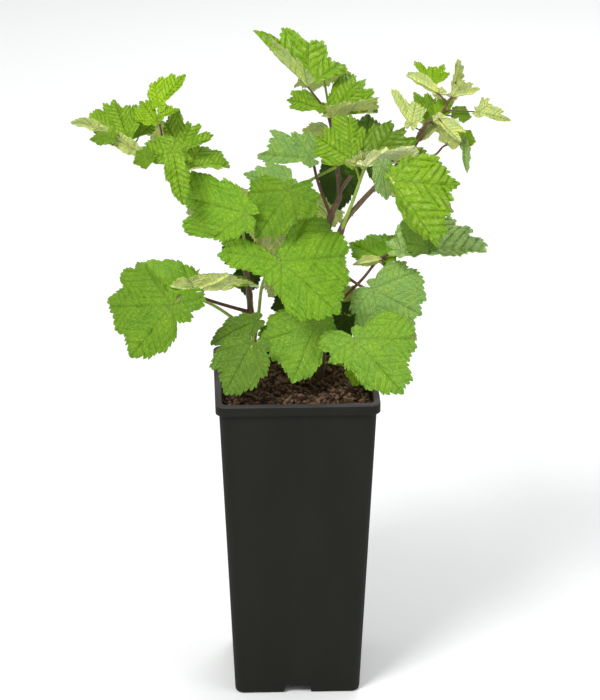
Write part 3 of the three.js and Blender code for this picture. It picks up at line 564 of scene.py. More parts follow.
# Each lobe is its angle from the midrib, to the left above zero, its reach as a share of the leaf's length
# and, where it has one of its own, its spread. The blade ends at the limit.
BLADE_SHAPES = {
    "broad": {"lobes": mirrored((0, 0.97), (50, 0.9), (100, 0.68), (148, 0.45)), "spread": 46, "limit": 172},
    "oval": {"lobes": mirrored((0, 1), (38, 0.7), (85, 0.46), (140, 0.25)), "spread": 44, "limit": 165},
    "fan": {"lobes": mirrored((0, 1), (38, 0.9), (72, 0.55)), "spread": 40, "limit": 100},
}
LOBE_DIP = 0.22
LOBE_POWER = 1.6
WEB = 0.2  # the least reach between two lobes
SINUS_START = 150
MID_LOBE = 12  # degrees: a lobe nearer to the midrib than this lies on it
CUP = math.radians(-20)
CREASE = 0.03  # of the leaf's length: half the width of the rounded fold along its midrib

TOOTH_PROFILE = (0.0, 0.14, 0.42, 1.0)  # how far the margin lies back, from a tooth's tip to the next notch
TOOTH_PITCH = (2.5, 0.036)  # mm, and share of the leaf's length
TOOTH_DEPTH = (1.1, 0.019)  # the same
TOOTH_BAND = 0.25  # of the reach, in which the teeth fade out
DEEPEST_TOOTH = 0.15  # of the reach; less than two thirds of the band, so that the skin never folds back
TOOTH_WIDTHS, TOOTH_SIZES = (0.75, 1.25), (0.65, 1.3)  # from the least to the greatest, at random
LOBULE_TEETH, LOBULE_DEPTH = 3, 0.9  # the margin swings over so many teeth, by so much of a tooth's depth
MARGIN_SAMPLES = 180  # on each side of the midrib

RING_SPAN = 0.78  # of the leaf's length, over which the rings are counted
RING_PITCH = (1.25, 0.03)  # mm from ring to ring, or share of a small leaf's length
FIRST_RING = 0.6  # of the pitch, from the margin
LAST_RING = 0.03  # of the reach
CROWDED = 0.62  # of the pitch: a ring with its points nearer together than this has half as many
MOST_SKIPPED = 8  # steps along the margin to a ring's point

QUILT = 0.021  # of the leaf's length: height of the bulges between side veins
CRISP_QUILT = 1.6
RIPPLE = 0.01  # of the leaf's length: height of the margin's waves
RIPPLES = ((5, 1), (11, 0.7))  # how many there are round the blade, and share of that height
WOBBLES = ((3, 0.012), (7, 0.01))  # the same for its reach, as shares of it
CALM_BASE = 0.5  # of the leaf's length: the blade grows level towards its base from here
SMALL_LEAF_QUILT = 40  # mm: shorter leaves are quilted more deeply and swell less
GROOVE = 0.012  # of the leaf's length: depth of the main veins' grooves
PUCKERS = ((4.6, 0.1), (9.5, 0.22), (24, 0.42))  # wave length and height in millimetres
RIB = 0.6  # mm that the main veins stand out below
FULL_RIB = 45  # mm: the ribs of shorter leaves are lower
RIB_END = 1.1  # of the leaf's length, where the ribs have run out
HALF_THICKNESS = 0.2
EDGE_THINNING = 0.35


def leaf_frame(heading, rise, spin):
    """The leaf's midrib, the direction to the midrib's left and where its upper face looks."""
    h, r, s = np.radians([heading, rise, spin])
    face = np.array([math.cos(r) * math.cos(h), math.cos(r) * math.sin(h), math.sin(r)])
    across = np.array([-math.sin(h), math.cos(h), 0])
    rib = math.cos(s) * across + math.sin(s) * np.cross(face, across)
    return rib, np.cross(face, rib), face


def both(value):
    return value if isinstance(value, tuple) else (value, value)


def leaf(base, faces, spin, length, *lobes, shape="broad", limit=None, curl=10, fold=8, width=1,
         tone="green", under="underside"):
    """Fold and width may be pairs, for the left and the right half. A leaf may have lobes of its own."""
    plain = BLADE_SHAPES[shape]
    return {
        "base": np.array(base, float), "frame": leaf_frame(*faces, spin), "length": length, "curl": curl,
        "fold": both(fold), "width": both(width), "tone": tone, "under": under, "spread": plain["spread"],
        "lobes": lobes or plain["lobes"], "veins": plain["lobes"], "limit": limit or plain["limit"],
    }


def blade_reach(angle, blade):
    """How far the blade reaches at an angle from the midrib, as a share of its length."""
    reaches = []
    for at, reach, *own_spread in blade["lobes"]:
        spread = own_spread[0] if own_spread else blade["spread"]
        reaches.append(reach * (1 - LOBE_DIP * (np.abs(angle - at) / spread) ** LOBE_POWER))
    past = np.maximum(0, np.abs(angle) - SINUS_START)
    sinus = 1 - 0.95 * (past / (180 - SINUS_START)) ** 2
    return np.maximum(WEB, np.max(reaches, axis=0)) * np.maximum(0.05, sinus)


def half_width(angle, blade):
    return np.where(angle > 0, *blade["width"])


def blade_points(blade, u, v):
    """Places on the curled and folded blade: u along the midrib and v to its left on the flat leaf."""
    rib, left, face = blade["frame"]
    length = blade["length"]
    curl = math.radians(blade["curl"]) + 1e-6
    bend = curl * np.clip(u / length, -1, 1.2)
    crease = CREASE * length
    fold_left, fold_right = np.radians(blade["fold"])
    tilt = fold_right + (fold_left - fold_right) * smoothstep(v / (2 * crease) + 0.5)
    tilt += CUP * np.abs(v) / length
    rise = (np.sqrt(v * v + crease * crease) - crease) * np.sin(tilt)
    along = (length / curl + rise) * np.sin(bend)
    above = (length / curl + rise) * np.cos(bend) - length / curl
    steps = ((along, rib), (above, face), (v * np.cos(tilt), left))
    return blade["base"] + sum(np.multiply.outer(amount, direction) for amount, direction in steps)


def pucker(u, v, rng):
    """Uneven swellings of the blade, in millimetres."""
    total = np.zeros_like(u)
    for wave, height in PUCKERS:
        for _ in range(3):
            heading, phase = rng.uniform(0, 2 * math.pi, 2)
            along = u * math.cos(heading) + v * math.sin(heading)
            across = u * math.sin(heading) - v * math.cos(heading)
            bend = rng.uniform(0.6, 1.4) * np.sin(across * 2.1 / wave)
            total += height * np.sin(along * 2 * math.pi / wave + phase + bend)
    return total


def waves(turn, swings, rng):
    """Waves round the blade; a swing is how many they are and how high. Each starts at a random place."""
    return sum(height * np.sin(turn * count + rng.uniform(0, 6)) for count, height in swings)


def half_margin(walk, length, rng):
    """One half of the margin from the leaf's tip: places along it, and how far back the teeth set them."""
    pitch = TOOTH_PITCH[0] + TOOTH_PITCH[1] * length
    depth = (TOOTH_DEPTH[0] + TOOTH_DEPTH[1] * length) / length
    teeth = 2 * max(2, round(walk / pitch / 2))
    widths = rng.uniform(*TOOTH_WIDTHS, teeth)
    starts = np.concatenate([[0], np.cumsum(widths)]) * walk / widths.sum()
    steps = len(TOOTH_PROFILE)
    along = np.interp(np.arange(teeth * steps + 1) / steps, np.arange(teeth + 1), starts)
    depths = depth * np.repeat(rng.uniform(*TOOTH_SIZES, teeth), steps) * np.tile(TOOTH_PROFILE, teeth)
    swing = 0.5 - 0.5 * np.cos(2 * math.pi * np.arange(teeth * steps) / (LOBULE_TEETH * steps))
    return along, np.append(depths + LOBULE_DEPTH * depth * swing, 0)


def blade_margin(blade, rng):
    """The margin's points, as angle from the midrib, reach and how far back a tooth sets them; its length."""
    probe = np.linspace(-blade["limit"], blade["limit"], 2 * MARGIN_SAMPLES + 1)
    reach, turn = blade_reach(probe, blade) * blade["length"], np.radians(probe)
    edge = np.stack([reach * np.cos(turn), reach * np.sin(turn) * half_width(probe, blade)], 1)
    walk = np.concatenate([[0], np.cumsum(np.linalg.norm(np.diff(edge, axis=0), axis=1))])
    walk -= walk[MARGIN_SAMPLES]
    right, right_back = half_margin(-walk[0], blade["length"], rng)
    left, left_back = half_margin(walk[-1], blade["length"], rng)
    angles = np.interp(np.concatenate([-right[:0:-1], left]), walk, probe)
    reach = blade_reach(angles, blade) * (1 + waves(np.radians(angles), WOBBLES, rng))
    back = np.concatenate([right_back[:0:-1], left_back])
    return angles, reach, np.minimum(back, DEEPEST_TOOTH * reach), walk[-1] - walk[0]


def on_standard_leaf(angles, blade):
    """The angles of the standard leaf that carry its veins to the lobes of this one."""
    warped = np.zeros_like(angles)
    for side in (1, -1):
        lobes = sorted(side * at for at, _ in blade["veins"] if side * at > MID_LOBE)[:len(VEIN_ANGLES) - 1]
        there = np.interp(side * angles, [0, *lobes, 180], [*VEIN_ANGLES[:len(lobes) + 1], 180])
        warped = np.where(side * angles > 0, side * there, warped)
    return warped


def blade_rings(length, around, columns):
    """Rings from the margin inwards: each one's share of the reach, and steps along the margin to a point."""
    span = RING_SPAN * length
    pitch = 1 / round(span / min(RING_PITCH[0], RING_PITCH[1] * length))
    rings, step = [], 1
    for share in (1, *np.arange(1 - FIRST_RING * pitch, LAST_RING, -pitch)):
        while (columns % (2 * step) == 0 and step < MOST_SKIPPED
               and share * around * step / columns < CROWDED * pitch * span):
            step *= 2
        rings.append((share, step))
    return rings


def blade_mesh(blade, rng):
    """Both skins of a blade with its teeth, veins and quilting: points, faces, map and materials."""
    length = blade["length"]
    angles, reach, back, around = blade_margin(blade, rng)
    warp = on_standard_leaf(angles, blade)
    columns = len(angles) - 1
    rings = blade_rings(length, around, columns)
    rows = [np.zeros((5, 1))]
    for share, step in rings:
        radius = (reach * share - back * smoothstep((share - 1 + TOOTH_BAND) / TOOTH_BAND))[::step]
        here, there = np.radians(angles[::step]), np.radians(warp[::step])
        rows.append([
            radius * np.cos(here) * length, radius * np.sin(here) * length * half_width(here, blade),
            radius * np.cos(there), radius * np.sin(there), np.full(len(radius), share),
        ])
    u, v, x, y, rim = np.hstack(rows)
    starts = np.cumsum([len(row[0]) for row in rows])[:-1]
    faces = []
    for (_, outer_step), (_, inner_step), outer, inner in zip(rings, rings[1:], starts, starts[1:]):
        k = np.arange(columns // inner_step)
        near = outer + k * (inner_step // outer_step)
        faces.append(quads(inner + k, near, near + 1, inner + k + 1))
        if inner_step > outer_step:
            faces.append(triangles(inner + k + 1, near + 1, near + 2))
    k = starts[-1] + np.arange(columns // rings[-1][1])
    faces = np.vstack([*faces, triangles(0, k, k + 1)])

    middle = blade_points(blade, u, v)
    groove, quilt = vein_relief(x, y)
    grown = min(1, length / SMALL_LEAF_QUILT)
    deep = (CRISP_QUILT if blade["tone"] in CRISP_FLANK_SHADE else 1) + 1 - grown
    away = smoothstep(np.hypot(x, y) / CALM_BASE)
    ripple = waves(np.arctan2(y, x), RIPPLES, rng)
    lift = length * (QUILT * deep * quilt * away - GROOVE * groove + RIPPLE * ripple * away * rim**3)
    lift += pucker(u, v, rng) * grown * away
    middle = middle + vertex_normals(middle, faces) * lift[:, None]
    normals = vertex_normals(middle, faces)
    thin = HALF_THICKNESS * (1 - EDGE_THINNING * rim**2)
    rib = RIB * groove * np.maximum(0, RIB_END - np.hypot(x, y)) * min(1, length / FULL_RIB)
    points = np.vstack([middle + normals * thin[:, None], middle - normals * (thin + rib)[:, None]])

    below = len(u)
    ends = [start + columns // step for start, (_, step) in zip(starts[1:], rings[1:])]
    loop = np.concatenate([[0], starts[:0:-1], starts[0] + np.arange(columns + 1), ends])
    after = np.roll(loop, -1)
    wall = quads(below + loop, below + after, after, loop)
    uv = np.stack([x, y], 1) / MAP_SPAN + 0.5
    tone, under = (list(TONES).index(blade[side]) for side in ("tone", "under"))
    materials = np.repeat([tone, under, tone], [len(faces), len(faces), len(wall)])
    return points, np.vstack([faces, faces[:, ::-1] + below, wall]), np.vstack([uv, uv]), materials


# ---------------------------------------------------------------- canes and sprays

POT_HEIGHT = 230
SOIL_EDGE = 221.5
SOIL_CROWN = 226
FOOT_Z = SOIL_CROWN + 0.3


def limb(foot_radius, tip_radius, *points):
    return {"radius": (foot_radius, tip_radius), "curve": Curve(points)}


CANES = {
    "left_cane": limb(2.4, 1.5, (-27, 20, 218), (-31, 15, 271), (-34, 8, 303), (-42, 1, 326), (-63, -8, 371),
                      (-99, -15, 402)),
    "middle_cane": limb(2.8, 1.3, (6, 22, 218), (16, 27, 290), (26, 30, 337), (32, 32, 352), (30, 30, 378),
                        (26, 26, 407)),
    "right_cane": limb(2.6, 1.3, (17, 8, 218), (24, 5, 290), (32, 3, 337), (44, -2, 358), (68, -9, 387),
                       (80, -12, 401)),
    "middle_branch": limb(1.6, 1.2, (32, 31, 356), (41, 26, 371), (48, 20, 383)),
}


def cane_at_height(cane, height):
    """The curve's share and point at a height above the floor."""
    low, high = 0.0, 1.0
    for _ in range(30):
        middle = (low + high) / 2
        if cane["curve"].at(middle)[2] < height:
            low = middle
        else:
            high = middle
    return low, cane["curve"].at(low)


def spray(cane, start, stalk, radius, leaves):
    return {"cane": cane, "from": start, "stalk": stalk, "radius": radius, "leaves": leaves}


# A spray: its main stalk leaves a cane at a height. A leaf is its base, where its face looks, the spin of its
# midrib and its length, and then the lobes that are its own.
SPRAYS = {
    "leaf_left_low": spray("left_cane", 272, [(-56, 2, 285), (-71, -11, 296)], (1.3, 1), [
        leaf((-87, -30, 295), (-112, 28), -124, 54, (0, 0.87, 24), (-36, 0.94, 22), (-54, 1.07, 14),
             (-80, 1.08, 12), (-93, 0.95, 10), (22, 0.66, 20), (95, 0.34, 26), (150, 0.5, 24), fold=(-12, 0),
             curl=18, tone="even"),
        leaf((-73, -14, 301), (-90, 70), 150, 46, (-15, 1.12, 16), (-34, 0.9, 16), (-52, 0.68, 16),
             (15, 0.6, 26), fold=5, curl=12),
        leaf((-70, -12, 300), (-90, 80), 2, 45, fold=(20, 85), curl=-8, width=(0.45, 0.45)),
    ]),
    "leaf_left_foot": spray("left_cane", 258, [(-32, 4, 264), (-32, -8, 272)], (1.2, 0.9), [
        leaf((-31.5, -38, 270), (-100, 35), -115, 42, (3, 0.97, 22), (22, 0.84, 20), (42, 0.66, 24),
             (62, 0.48, 20), (-30, 0.82, 22), (-52, 0.6, 20), (-80, 0.3, 24), (105, 0.35, 30), fold=(0, 5),
             curl=15, limit=130, tone="deep"),
        leaf((-28, -14, 277), (-110, 45), -149, 38, (0, 1, 14), (-17, 0.7, 14), (-38, 0.38, 20),
             (20, 0.5, 16), (60, 0.3, 24), fold=(0, 10), curl=25, tone="deep"),
    ]),
    "leaf_left_behind": spray("left_cane", 286, [(-29, 23, 294)], (0.9, 0.8), [
        leaf((-33, 24, 299), (-90, 10), -95, 18, width=0.7, tone="dark"),
    ]),
    "leaf_low_behind": spray("middle_cane", 263, [(3, 20, 274)], (0.9, 0.8), [
        leaf((-3, 12, 280), (-90, 30), 195, 15, width=0.9, tone="dark"),
    ]),
    "leaf_left_inner": spray("left_cane", 309, [(-36, 11, 312)], (0.9, 0.8), [
        leaf((-37, 13, 318), (-110, 30), 150, 18, tone="dark"),
    ]),
    "leaf_left_high": spray("left_cane", 316, [(-36, -8, 334), (-37, -27, 351)], (1.2, 0.9), [
        leaf((-34.5, -34, 363.5), (-100, 18), 168, 50, (3, 0.97, 10), (28, 1.02, 14), (-19, 1.04, 12),
             (-8, 1, 12), (-38, 0.64, 16), (-60, 0.34, 24), (46, 0.7, 18), (64, 0.46, 22), (100, 0.3, 36),
             fold=(-8, -6), curl=12),
    ]),
    "leaf_centre_high": spray("middle_cane", 375, [(11, 14, 371), (1, -6, 374)], (1.1, 0.9), [
        leaf((-4, -21, 376), (-90, 20), -127, 42, (0, 0.97, 16), (17, 0.88, 16), (-15, 0.95, 16),
             (-38, 0.83, 20), (-60, 0.76, 20), (80, 0.66, 22), (108, 0.54, 22), (42, 0.6, 22),
             (145, 0.42, 26), fold=-6, curl=8, tone="even"),
        leaf((-4, -14, 377), (-100, 60), 165, 34, (0, 1.03, 12), (-14, 0.9, 12), (-33, 0.88, 14),
             (-52, 0.66, 14), (20, 0.3, 20), fold=8, curl=5, tone="blue"),
    ]),
    "leaf_middle_left": spray("middle_cane", 338, [(17, 18, 366), (13, 10, 384)], (1.2, 0.9), [
        leaf((11, 8, 389), (-100, 45), 176, 40, (4, 0.98, 10), (-8, 0.84, 12), (-20, 0.86, 9), (-30, 0.94, 8),
             (-47, 0.64, 14), (-79, 0.52, 26), fold=(10, 15), curl=5, tone="blue"),
    ]),
    "leaf_middle_pair": spray("right_cane", 336, [(40, -4, 362), (46, -9, 383)], (1.5, 1.1), [
        leaf((39, -12, 394), (-100, 22), 150, 34, (2, 0.92, 16), (17, 0.86, 14), (32, 0.7, 12),
             (-15, 0.93, 14), (-37, 1.08, 14), (-53, 1.03, 12), (-70, 0.8, 14), fold=(0, -5), tone="crisp"),
        leaf((48, -18, 392.5), (-105, 35), 9, 46, (6, 1, 12), (22, 0.88, 12), (40, 0.83, 12), (58, 0.8, 14),
             (75, 0.66, 12), (-20, 0.9, 14), (-40, 0.82, 12), (-58, 0.55, 14), fold=(8, 110), curl=5,
             tone="crisp_in_shade", under="underside_painted_light"),
        leaf((46.5, -17, 391), (95, 15), 78, 14, (0, 1, 18), (24, 1, 16), (44, 1.13, 12), (-28, 0.92, 18),
             (-51, 1.13, 12), curl=0, tone="crisp"),
    ]),
    "leaf_middle_top": spray("middle_branch", 382, [(49, 13, 386)], (1, 0.8), [
        leaf((49, 9, 387.5), (-90, 45), 85, 37, fold=5, curl=5, width=0.65, tone="deep"),
    ]),
    "leaf_middle_behind": spray("middle_cane", 378, [(31, 38, 380)], (1, 0.8), [
        leaf((32, 45, 368), (-90, 10), -88, 31, width=0.62, tone="dark"),
    ]),
    "leaf_right_upper": spray("right_cane", 381, [(65, -24, 382)], (1.1, 0.9), [
        leaf((64.5, -40, 388.5), (-86, 22), -56, 60, (0, 0.93, 14), (9, 0.9, 12), (22, 0.82, 14),
             (36, 0.79, 10), (51, 0.84, 11), (66, 0.74, 14), (80, 0.64, 14), (97, 0.42, 18), (-12, 0.85, 20),
             fold=(0, -70), curl=18, tone="crisp"),
        leaf((58, -33, 397), (-90, 10), -82, 24, shape="oval", width=0.6, tone="sheen"),
    ]),
    "shoot_tip_middle": spray("middle_cane", 404, [(23, 24, 417), (20, 22, 424)], (1.2, 0.9), [
        leaf((10, 20, 438), (-70, 40), 126, 56, (0, 0.95, 12), (-27, 0.83, 15), (-44, 0.66, 16),
             (-63, 0.69, 16), (-83, 0.53, 16), (-104, 0.6, 14), (28, 0.42, 22), fold=(110, 8), curl=-8,
             limit=116, tone="crisp", under="underside_painted_shade"),
        leaf((25.5, 20, 415), (-105, 40), 12, 36, (8, 1, 12), (27, 1.02, 14), (46, 1.04, 12), (65, 1.12, 13),
             (80, 0.6, 12), (-12, 0.96, 12), (-28, 1.1, 12), (-50, 0.8, 16), (-80, 0.56, 14), fold=(10, 105),
             curl=5, tone="crisp"),
        leaf((19, 20, 421.5), (-100, 50), 165, 26, (13, 0.92, 12), (0, 1.03, 12), (-14, 1.05, 12),
             (-25, 0.84, 12), fold=10, tone="crisp"),
    ]),
    "leaf_right_far": spray("right_cane", 275, [(31, 0, 285), (47, 4, 300), (60, 8, 314), (76, 4, 322)],
        (1.2, 0.9), [
        leaf((65, 8, 313), (-90, 60), 145, 36, (2, 0.9, 16), (22, 0.76, 14), (-28, 0.78, 18), (-50, 0.78, 14),
             (-75, 0.88, 18), (-97, 0.55, 16), fold=5),
        leaf((61, -1, 317), (80, 20), -18, 22, (0, 1.03, 12), (19, 0.75, 12), (-14, 0.7, 12), curl=0,
             limit=60, tone="pale"),
        leaf((92, -10, 329), (-90, 50), 115, 30, (-8, 1.04, 14), (12, 0.96, 14), (26, 0.82, 14),
             (46, 0.62, 18), (72, 0.54, 18), (94, 0.48, 16), (-35, 0.45, 24), fold=5, tone="deep"),
        leaf((74, -4, 325), (-90, 60), 0, 64, (4, 1, 10), (18, 0.86, 12), (36, 0.76, 14), (56, 0.68, 18),
             (80, 0.45, 16), (-8, 0.74, 12), (-30, 0.3, 20), fold=(5, 30), curl=5, tone="sheen"),
    ]),
    "leaf_centre": spray("left_cane", 246, [(-26, 8, 270), (-23, 4, 297), (-16, -14, 318)], (1.3, 1), [
        leaf((-10, -30, 327), (-82, 28), -46, 57, (0, 0.95, 26), (29, 0.9, 24), (60, 0.98, 22),
             (84, 0.93, 20), (-20, 0.82, 22), (-42, 0.5, 24), (-75, 0.36, 30), (-118, 0.42, 18),
             (-146, 0.81, 15), (-163, 0.9, 16), fold=(-5, 4), tone="bright"),
    ]),
    "leaf_centre_low": spray("middle_cane", 243, [(13, 8, 256), (14, -6, 268)], (1.3, 1), [
        leaf((14, -20, 277), (-90, 30), -113, 46, (0, 0.97, 22), (-29, 0.92, 22), (-51, 1, 22),
             (-72, 0.84, 16), (33, 0.52, 30), (79, 0.38, 36), (125, 0.3, 30), fold=(-5, 0), tone="light"),
    ]),
    "leaf_right_foot": spray("right_cane", 244, [(30, -3, 256), (38, -20, 263)], (1.3, 1), [
        leaf((40.5, -39, 272), (-88, 30), -50, 54, (0, 0.95, 20), (10, 0.92, 16), (44, 0.83, 28),
             (63, 0.8, 20), (79, 0.7, 14), (-18, 0.76, 18), (-45, 0.46, 28), (-90, 0.46, 22),
             (-126, 0.52, 24), fold=(5, -5), curl=15, tone="light"),
    ]),
    "leaf_right_low": spray("right_cane", 313, [(38, -2, 303), (49, -8, 298)], (1.2, 0.9), [
        leaf((54, -11, 298.5), (-90, 8), -30, 45, (2, 0.9, 20), (20, 0.91, 20), (40, 0.87, 20),
             (66, 0.68, 20), (-22, 0.96, 24), (-50, 0.68, 20), (-76, 0.7, 20), (-98, 0.55, 24),
             (-130, 0.34, 30), fold=(-8, 15), curl=8, tone="blue"),
    ]),
    "leaf_soil_right": spray("right_cane", 236, [(28, 0, 238), (40, -10, 238)], (0.9, 0.8), [
        leaf((43, -12, 238), (-80, 60), -40, 16, fold=5, tone="young"),
    ]),
    "leaf_tip_left_top": spray("left_cane", 399, [(-92, -9, 411), (-94, -19, 428)], (0.9, 0.7), [
        leaf((-93.5, -18, 437), (-100, 30), 56, 29, (0, 1, 10), (14, 0.86, 14), (30, 0.76, 16),
             (50, 0.66, 16), (74, 0.5, 14), curl=20, tone="young"),
        leaf((-95.5, -22, 427), (-100, 40), 130, 20, (-12, 0.95, 12), (3, 1, 14), (20, 0.93, 14),
             (38, 0.9, 14), (60, 0.56, 16), tone="young"),
        leaf((-93, -22, 430), (-90, 40), 24, 17, (2, 0.88, 10), (18, 0.78, 14), (40, 0.7, 14), (60, 0.48, 16),
             tone="young"),
    ]),
    "shoot_tip_left": spray("left_cane", 401.4, [(-115, -18, 410), (-127, -19, 417), (-133, -20, 422)],
        (1.4, 0.8), [
        leaf((-116, -22, 417), (-110, 40), 120, 30, (33, 1.2, 12), (14, 1.08, 10), (3, 1.07, 10),
             (-20, 0.83, 12), (-34, 0.85, 10), (-60, 0.5, 20), fold=10, tone="crisp"),
        leaf((-108, -6, 411), (-90, 45), 112, 26, shape="fan", width=0.8, tone="crisp"),
        leaf((-135, -20, 421.5), (-110, 60), 168, 23, fold=35, shape="oval", width=0.45, tone="pale"),
        leaf((-126, -25, 419), (-110, 60), 160, 20, fold=30, shape="oval", width=0.5, tone="young"),
        leaf((-111, -28, 409), (-90, 30), 150, 34, fold=30, shape="oval", width=0.35, tone="pale"),
        leaf((-126, -31, 418), (-90, 60), 176, 15, shape="oval", width=0.8, tone="crisp"),
    ]),
    "leaf_tip_left_right": spray("left_cane", 389, [(-81, -14, 400)], (1, 0.8), [
        leaf((-79.5, -14, 404), (-95, 35), 70, 32, (50, 0.78, 12), (36, 0.9, 10), (26, 0.98, 8),
             (6, 0.72, 10), (-14, 0.74, 12), (-42, 0.82, 10), tone="crisp"),
        leaf((-77, -35, 402), (-100, 42), 166, 34, (1, 1.04, 12), (-11, 0.95, 12), (-26, 0.86, 12),
             (-40, 0.78, 12), (-63, 0.42, 14), (12, 0.5, 14), fold=5, tone="crisp"),
        leaf((-84.5, -37, 411.5), (-95, 20), -79, 38, (1, 1, 12), (-18, 0.6, 14), (-45, 0.32, 20),
             (14, 0.7, 12), (38, 0.34, 18), fold=5, curl=15, tone="crisp"),
        leaf((-102, -38, 407), (-100, 40), 205, 11, width=0.9, tone="crisp"),
        leaf((-74.5, -13, 390), (-90, 50), 10, 31, (4, 1.04, 12), (22, 0.95, 12), (42, 0.84, 14),
             (60, 0.74, 14), (82, 0.34, 14), (-25, 0.8, 20), fold=(10, 60), curl=30, tone="crisp"),
    ]),
    "shoot_tip_right": spray("right_cane", 400.4,
        [(86, -13, 412), (90, -14, 421), (97, -14, 425), (103, -13, 433), (107, -12, 440)], (1.3, 0.6), [
        leaf((93.5, -12, 449), (-100, 40), 95, 19, (35, 1.22, 8), (12, 0.72, 16), (-12, 0.72, 16),
             (-32, 0.84, 14), (-58, 0.72, 16), tone="young"),
        leaf((98, -14, 442), (80, 20), 35, 30, (4, 1, 8), (14, 0.8, 10), (22, 0.46, 12), (-8, 0.5, 10),
             tone="pale"),
        leaf((109, -10, 448), (80, 20), 100, 18, (-2, 1.4, 6), (8, 1, 8), (24, 0.6, 14), (-20, 0.4, 14),
             tone="pale"),
        leaf((107, -12, 439), (80, 20), 165, 22, (-10, 1, 8), (-28, 0.92, 12), (-48, 0.85, 12),
             (-64, 0.6, 12), tone="pale"),
        leaf((92.5, -10, 422.5), (-100, 45), 122, 22, (0, 1.18, 10), (17, 0.88, 10), (32, 0.5, 12),
             (-20, 1.03, 10), (-38, 0.8, 10), (-58, 0.4, 12), tone="crisp"),
        leaf((98.5, -14, 424), (-100, 45), 80, 14, (11, 1.44, 12), (-12, 1.38, 12), (-34, 0.8, 12),
             (34, 0.86, 12), tone="young"),
        leaf((112, -12, 425), (-90, 40), 60, 9, width=1.1, tone="crisp"),
        leaf((78.5, -16, 421), (-90, 40), 75, 26, (37, 1.24, 7), (25, 0.74, 8), (8, 0.72, 14), (-8, 0.67, 14),
             (-26, 0.63, 14), (-50, 0.43, 12), tone="pale"),
        leaf((125, -14, 428.5), (-90, 20), -15, 24, (0, 0.97, 8), (18, 0.76, 12), (44, 0.5, 14),
             (70, 0.55, 10), (87, 0.48, 8), tone="pale"),
        leaf((97, -22, 427), (80, 0), 225, 25, (0, 0.9, 10), (-20, 0.84, 10), (-33, 0.6, 10), (12, 0.5, 10),
             tone="pale"),
        leaf((95, -8, 418), (-90, 20), 222, 18, fold=30, shape="oval", width=0.5, tone="pale"),
    ]),
    "leaf_tip_right_low": spray("right_cane", 397, [(94, -13, 397), (102, -13, 404), (112, -14, 406)],
        (0.9, 0.6), [
        leaf((103, -16, 406), (80, -10), 120, 12, shape="fan", tone="pale"),
        leaf((115, -12, 407), (-90, 30), 55, 10, tone="young"),
        leaf((115, -16, 408), (-120, 10), -82, 24, (5, 0.96, 8), (20, 0.66, 12), (42, 0.4, 16),
             (-15, 0.3, 16), fold=20, tone="sheen"),
    ]),
    "leaf_right_behind": spray("right_cane", 262, [(27, 8, 268)], (0.9, 0.8), [
        leaf((35, 9, 276), (-80, 40), 60, 20, shape="oval", width=1.1, tone="pale"),
        leaf((34, 6, 272), (-90, 30), -40, 18, tone="dark"),
    ]),
}

# Leaves on the far side follow one rule: cane, height, heading, the stalk's reach and climb, leaf length.
FAR_LEAVES = {
    "far_low_middle": ("middle_cane", 284, 100, 36, 0.1, 46),
    "far_left_inner": ("left_cane", 303, 68, 44, 0.5, 46),
    "far_left_low": ("left_cane", 256, 153, 60, 0.35, 44),
    "far_left_high": ("left_cane", 345, 88, 46, 0.1, 38),
    "far_centre": ("middle_cane", 338, 110, 50, -0.15, 44),
    "far_middle_high": ("middle_cane", 388, 95, 28, 0.2, 34),
    "far_right_low": ("right_cane", 266, 52, 66, -0.12, 44),
    "far_right_high": ("right_cane", 378, 56, 50, -0.42, 38),
    "far_tip_middle": ("middle_cane", 402, 105, 24, 1.6, 28),
    "far_tip_left": ("left_cane", 398, 72, 24, 0.6, 23),
    "far_tip_right": ("right_cane", 398, 50, 24, 0.8, 22),
}
FAR_SEED = 4177
FAR = {"rise": (34, 50), "spin": (-106, -74), "fold": (-12, 12), "curl": (8, 26), "width": (0.85, 1.05)}
SMALL_LEAF = 31


def seeded_random(seed):
    """A repeatable run of numbers from 0 to 1, as in the part's source."""
    state = seed
    while True:
        state = state * 48271 % 2147483647
        yield state / 2147483647


def far_sprays():
    numbers = seeded_random(FAR_SEED)
    sprays = {}
    for name, (cane, start, heading, reach, climb, length) in FAR_LEAVES.items():
        _, foot = cane_at_height(CANES[cane], start)
        ahead = np.array([math.cos(math.radians(heading)), math.sin(math.radians(heading)), climb])
        near, far, end = (tuple(foot + reach * (share * ahead + (0, 0, lift)))
                          for share, lift in ((0.5, 0.08), (0.92, 0.02), (1, 0)))
        rise, spin, fold, curl, width = (low + (high - low) * next(numbers) for low, high in FAR.values())
        radius = (1.2, 0.9) if length > SMALL_LEAF else (0.9, 0.7)
        blade = leaf(end, (heading, rise), spin, length, fold=fold, curl=curl, width=width)
        sprays[name] = spray(cane, start, [near, far], radius, [blade])
    return sprays


# ---------------------------------------------------------------- making the plant

ROOT_DEPTH = 0.12  # of the leaf's length: how far its stalk runs on below the midrib
BASE_GAP, ROOT_GAP = (0.3, 1.8), (0.5, 0.3)  # mm below the blade, and more where the stalk comes up steeply
MAIN_TUBE = {"step": 1.6, "sides": 10}
SIDE_TUBE = {"step": 1.2, "sides": 8}
MAIN_FLARE, SIDE_FLARE, FLARE_FADE = 0.35, 0.2, 14
CHANNEL_DEPTH, CHANNEL_WIDTH = 0.1, 0.3
SIDE_STALK_FOOT = 0.9  # of the radius at the main stalk's end
SIDE_STALK_TIP = {"large": 0.6, "small": 0.4}  # its radius where it meets the blade
FORK_SAMPLES = 40
FORK_DROP = 0.5  # of the leaf's distance from the main stalk
FIRST_FORK = 0.25  # of the main stalk
STALKS = {  # two colours and a slot
    "green": ((126, 158, 48), (172, 186, 84), "leaf_green"),
    "red": ((84, 46, 40), (116, 82, 52), "cane"),
}
